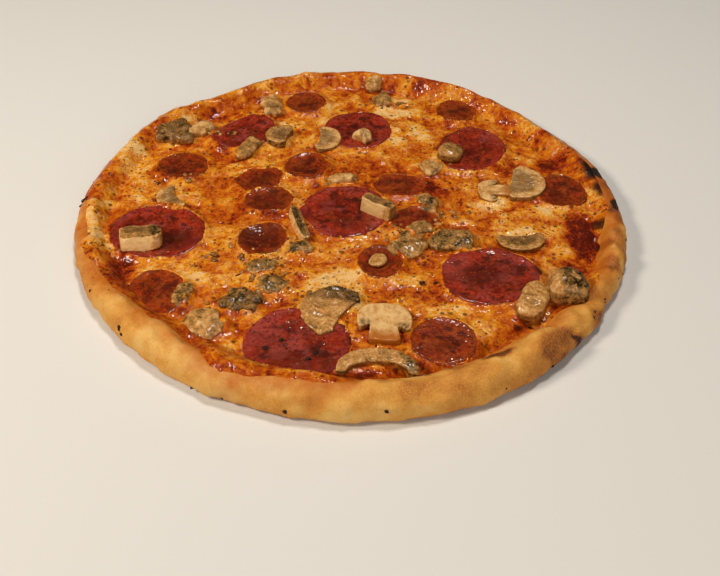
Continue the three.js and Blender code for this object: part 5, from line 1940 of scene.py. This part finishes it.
MUSHROOMS = (
    MushroomPiece("mushroom_01", 9, Cut.BLOCK, Gills.BACK_BAND, 0.08, squareness=5, ruffle=0.6, shaded_right_end=0.4, sunk=0,
                  thick=0.74),
    MushroomPiece("mushroom_02", -34, Cut.BLOCK, Gills.TOP_BAND, 0.08, squareness=7, ruffle=0.2, shaded_right_end=0.3, sunk=0),
    MushroomPiece("mushroom_03", 0, Cut.LENGTHWISE, Gills.UNDER_CAP, 0.1, lobes=(-0.3, -0.45), ruffle=0.2, oiled=0.95,
                  sunk=1.0, thick=0.85),
    MushroomPiece("mushroom_04", -3, Cut.BOW, tone=0.3, band=0.5, ruffle=0.45, oiled=0.6, shaded_right_end=0.35, sunk=1.2,
                  thick=0.65, long=0.78),
    MushroomPiece("mushroom_05", 59, Cut.SHELL, Gills.FAR_END, 0.34, band=0.9, ruffle=1.1, oiled=0.5, shaded_right_end=0.4,
                  sunk=1.0, thick=0.62, seed=3),
    MushroomPiece("mushroom_06", 0, tone=0.56, squareness=3.2, ruffle=0.5, ring=0.3, sunk=0.8),
    MushroomPiece("mushroom_07", 65, tone=0.34, squareness=3.2, ruffle=1.2, sunk=0.8),
    MushroomPiece("mushroom_08", -105, Cut.SHELL, Gills.INNER, 0.2, band=0.95, thick=0.8),
    MushroomPiece("mushroom_09", 92, Cut.LENGTHWISE, Gills.UNDER_CAP, 0.2, stalk=0.5, lobes=(-0.1, -0.3), oiled=0.7,
                  sunk=1.2),
    MushroomPiece("mushroom_10", 186, Cut.SHELL, Gills.INNER, 0.42, band=0.85, oiled=0.4, ruffle=0.5, sunk=-0.8),
    MushroomPiece("mushroom_11", 118, Cut.PULP, Gills.STREAKS, 0.46, squareness=2.6, ruffle=1.1),
    MushroomPiece("mushroom_12", 80, Cut.PULP, tone=0.2, ruffle=0.7, sunk=1.0),
    MushroomPiece("mushroom_13", 98, Cut.PULP, tone=0.3, ruffle=0.9, sunk=1.0),
    MushroomPiece("mushroom_14", 75, Cut.PULP, tone=0.34, ruffle=0.9, sunk=1.0),
    MushroomPiece("mushroom_15", 80, Cut.PULP, tone=0.5, ruffle=0.9, sunk=1.4),
    MushroomPiece("mushroom_16", 75, Cut.PULP, tone=0.42, ruffle=0.6),
    MushroomPiece("mushroom_17", 75, Cut.SHELL, Gills.INNER, 0.36, band=0.9),
    MushroomPiece("mushroom_18", -96, Cut.SHELL, Gills.INNER, 0.2, band=0.85),
    MushroomPiece("mushroom_19", -55, Cut.PULP, tone=0.14, ruffle=0.6, sunk=0),
    MushroomPiece("mushroom_20", 60, tone=0.46, shaded_right_end=0.3, sunk=0.5),
    MushroomPiece("mushroom_21", 120, Cut.SHELL, Gills.INNER, 0.24, band=0.8),
    MushroomPiece("mushroom_22", -72, Cut.BLOCK, Gills.TOP_BAND, 0.34, squareness=3),
    MushroomPiece("mushroom_23", 15, Cut.PULP, tone=0.62, ruffle=1.0),
    MushroomPiece("mushroom_24", 20, Cut.PULP, tone=0.6, ruffle=1.3, oiled=0.6, sunk=1.8),
    MushroomPiece("mushroom_25", -30, Cut.PULP, tone=0.62, ruffle=1.3, oiled=0.6, sunk=1.6),
    MushroomPiece("mushroom_26", 10, Cut.PULP, tone=0.68, ruffle=1.0, oiled=0.6, sunk=1.6),
    MushroomPiece("mushroom_27", 85, Cut.PULP, tone=0.54, ruffle=0.9, oiled=0.6, sunk=1.0),
    MushroomPiece("mushroom_28", 20, Cut.PULP, tone=0.34, ruffle=1.1, oiled=0.6, sunk=1.5),
    MushroomPiece("mushroom_29", 60, Cut.PULP, tone=0.5, ruffle=1.3, oiled=0.5, sunk=1.6),
    MushroomPiece("mushroom_30", 20, Cut.PULP, tone=0.56, ruffle=1.3, oiled=0.5, sunk=1.4),
    MushroomPiece("mushroom_31", 10, Cut.PULP, tone=0.58, ruffle=1.2, oiled=0.5, sunk=1.6),
    MushroomPiece("mushroom_32", 110, Cut.PULP, tone=0.6, ruffle=1.0, sunk=1.0),
    MushroomPiece("mushroom_33", 50, tone=0.34, sunk=0),
    MushroomPiece("mushroom_34", 8, Cut.PULP, tone=0.3, ruffle=0.9, sunk=1.2),
    MushroomPiece("mushroom_35", 40, Cut.PULP, tone=0.34, ruffle=0.9, oiled=0.6, sunk=1.3),
)

WIDE_FINISH = CuredSalami(
    "salami_wide_cured_baked", "#9C2A10", "#781A08", "#90281E", "#B8562E", "#983C32", "#7A2C08")
NARROW_FINISH = CuredSalami(
    "salami_narrow_cured_baked", "#8C2A04", "#702004", "#8E3606", "#AE5818", "#A04410", "#783004")


def main() -> None:
    """Builds the pizza from the dough up, then the studio round it."""
    logging.basicConfig(level=logging.INFO, format="%(name)s: %(message)s")
    Studio().build()
    ground = Ground()
    log.info("measured the solids")
    crust = Crust(ground).build()
    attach(crust, "root")
    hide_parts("crust")
    log.info("crust: %d faces", len(crust.data.polygons))
    wide = SalamiSlices(WIDE_SLICES, "salami_wide", WIDE_FINISH, mottled=0.9, painted_sheen_strength=0.85)
    narrow = SalamiSlices(NARROW_SLICES, "salami_narrow", NARROW_FINISH)
    mushrooms = Mushrooms(ground, MUSHROOMS)
    melt = Melt(ground, [wide, narrow], mushrooms).build()
    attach(melt, "root")
    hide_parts("cheese")
    log.info("cheese: %d faces", len(melt.data.polygons))
    slices = wide.build() + narrow.build()
    pieces = mushrooms.build()
    for body in slices + pieces:
        log.info("%s: %d faces", body.name, len(body.data.polygons))
    Scatterings(Surface([crust, melt, *slices])).build()


if __name__ == "__main__":
    main()
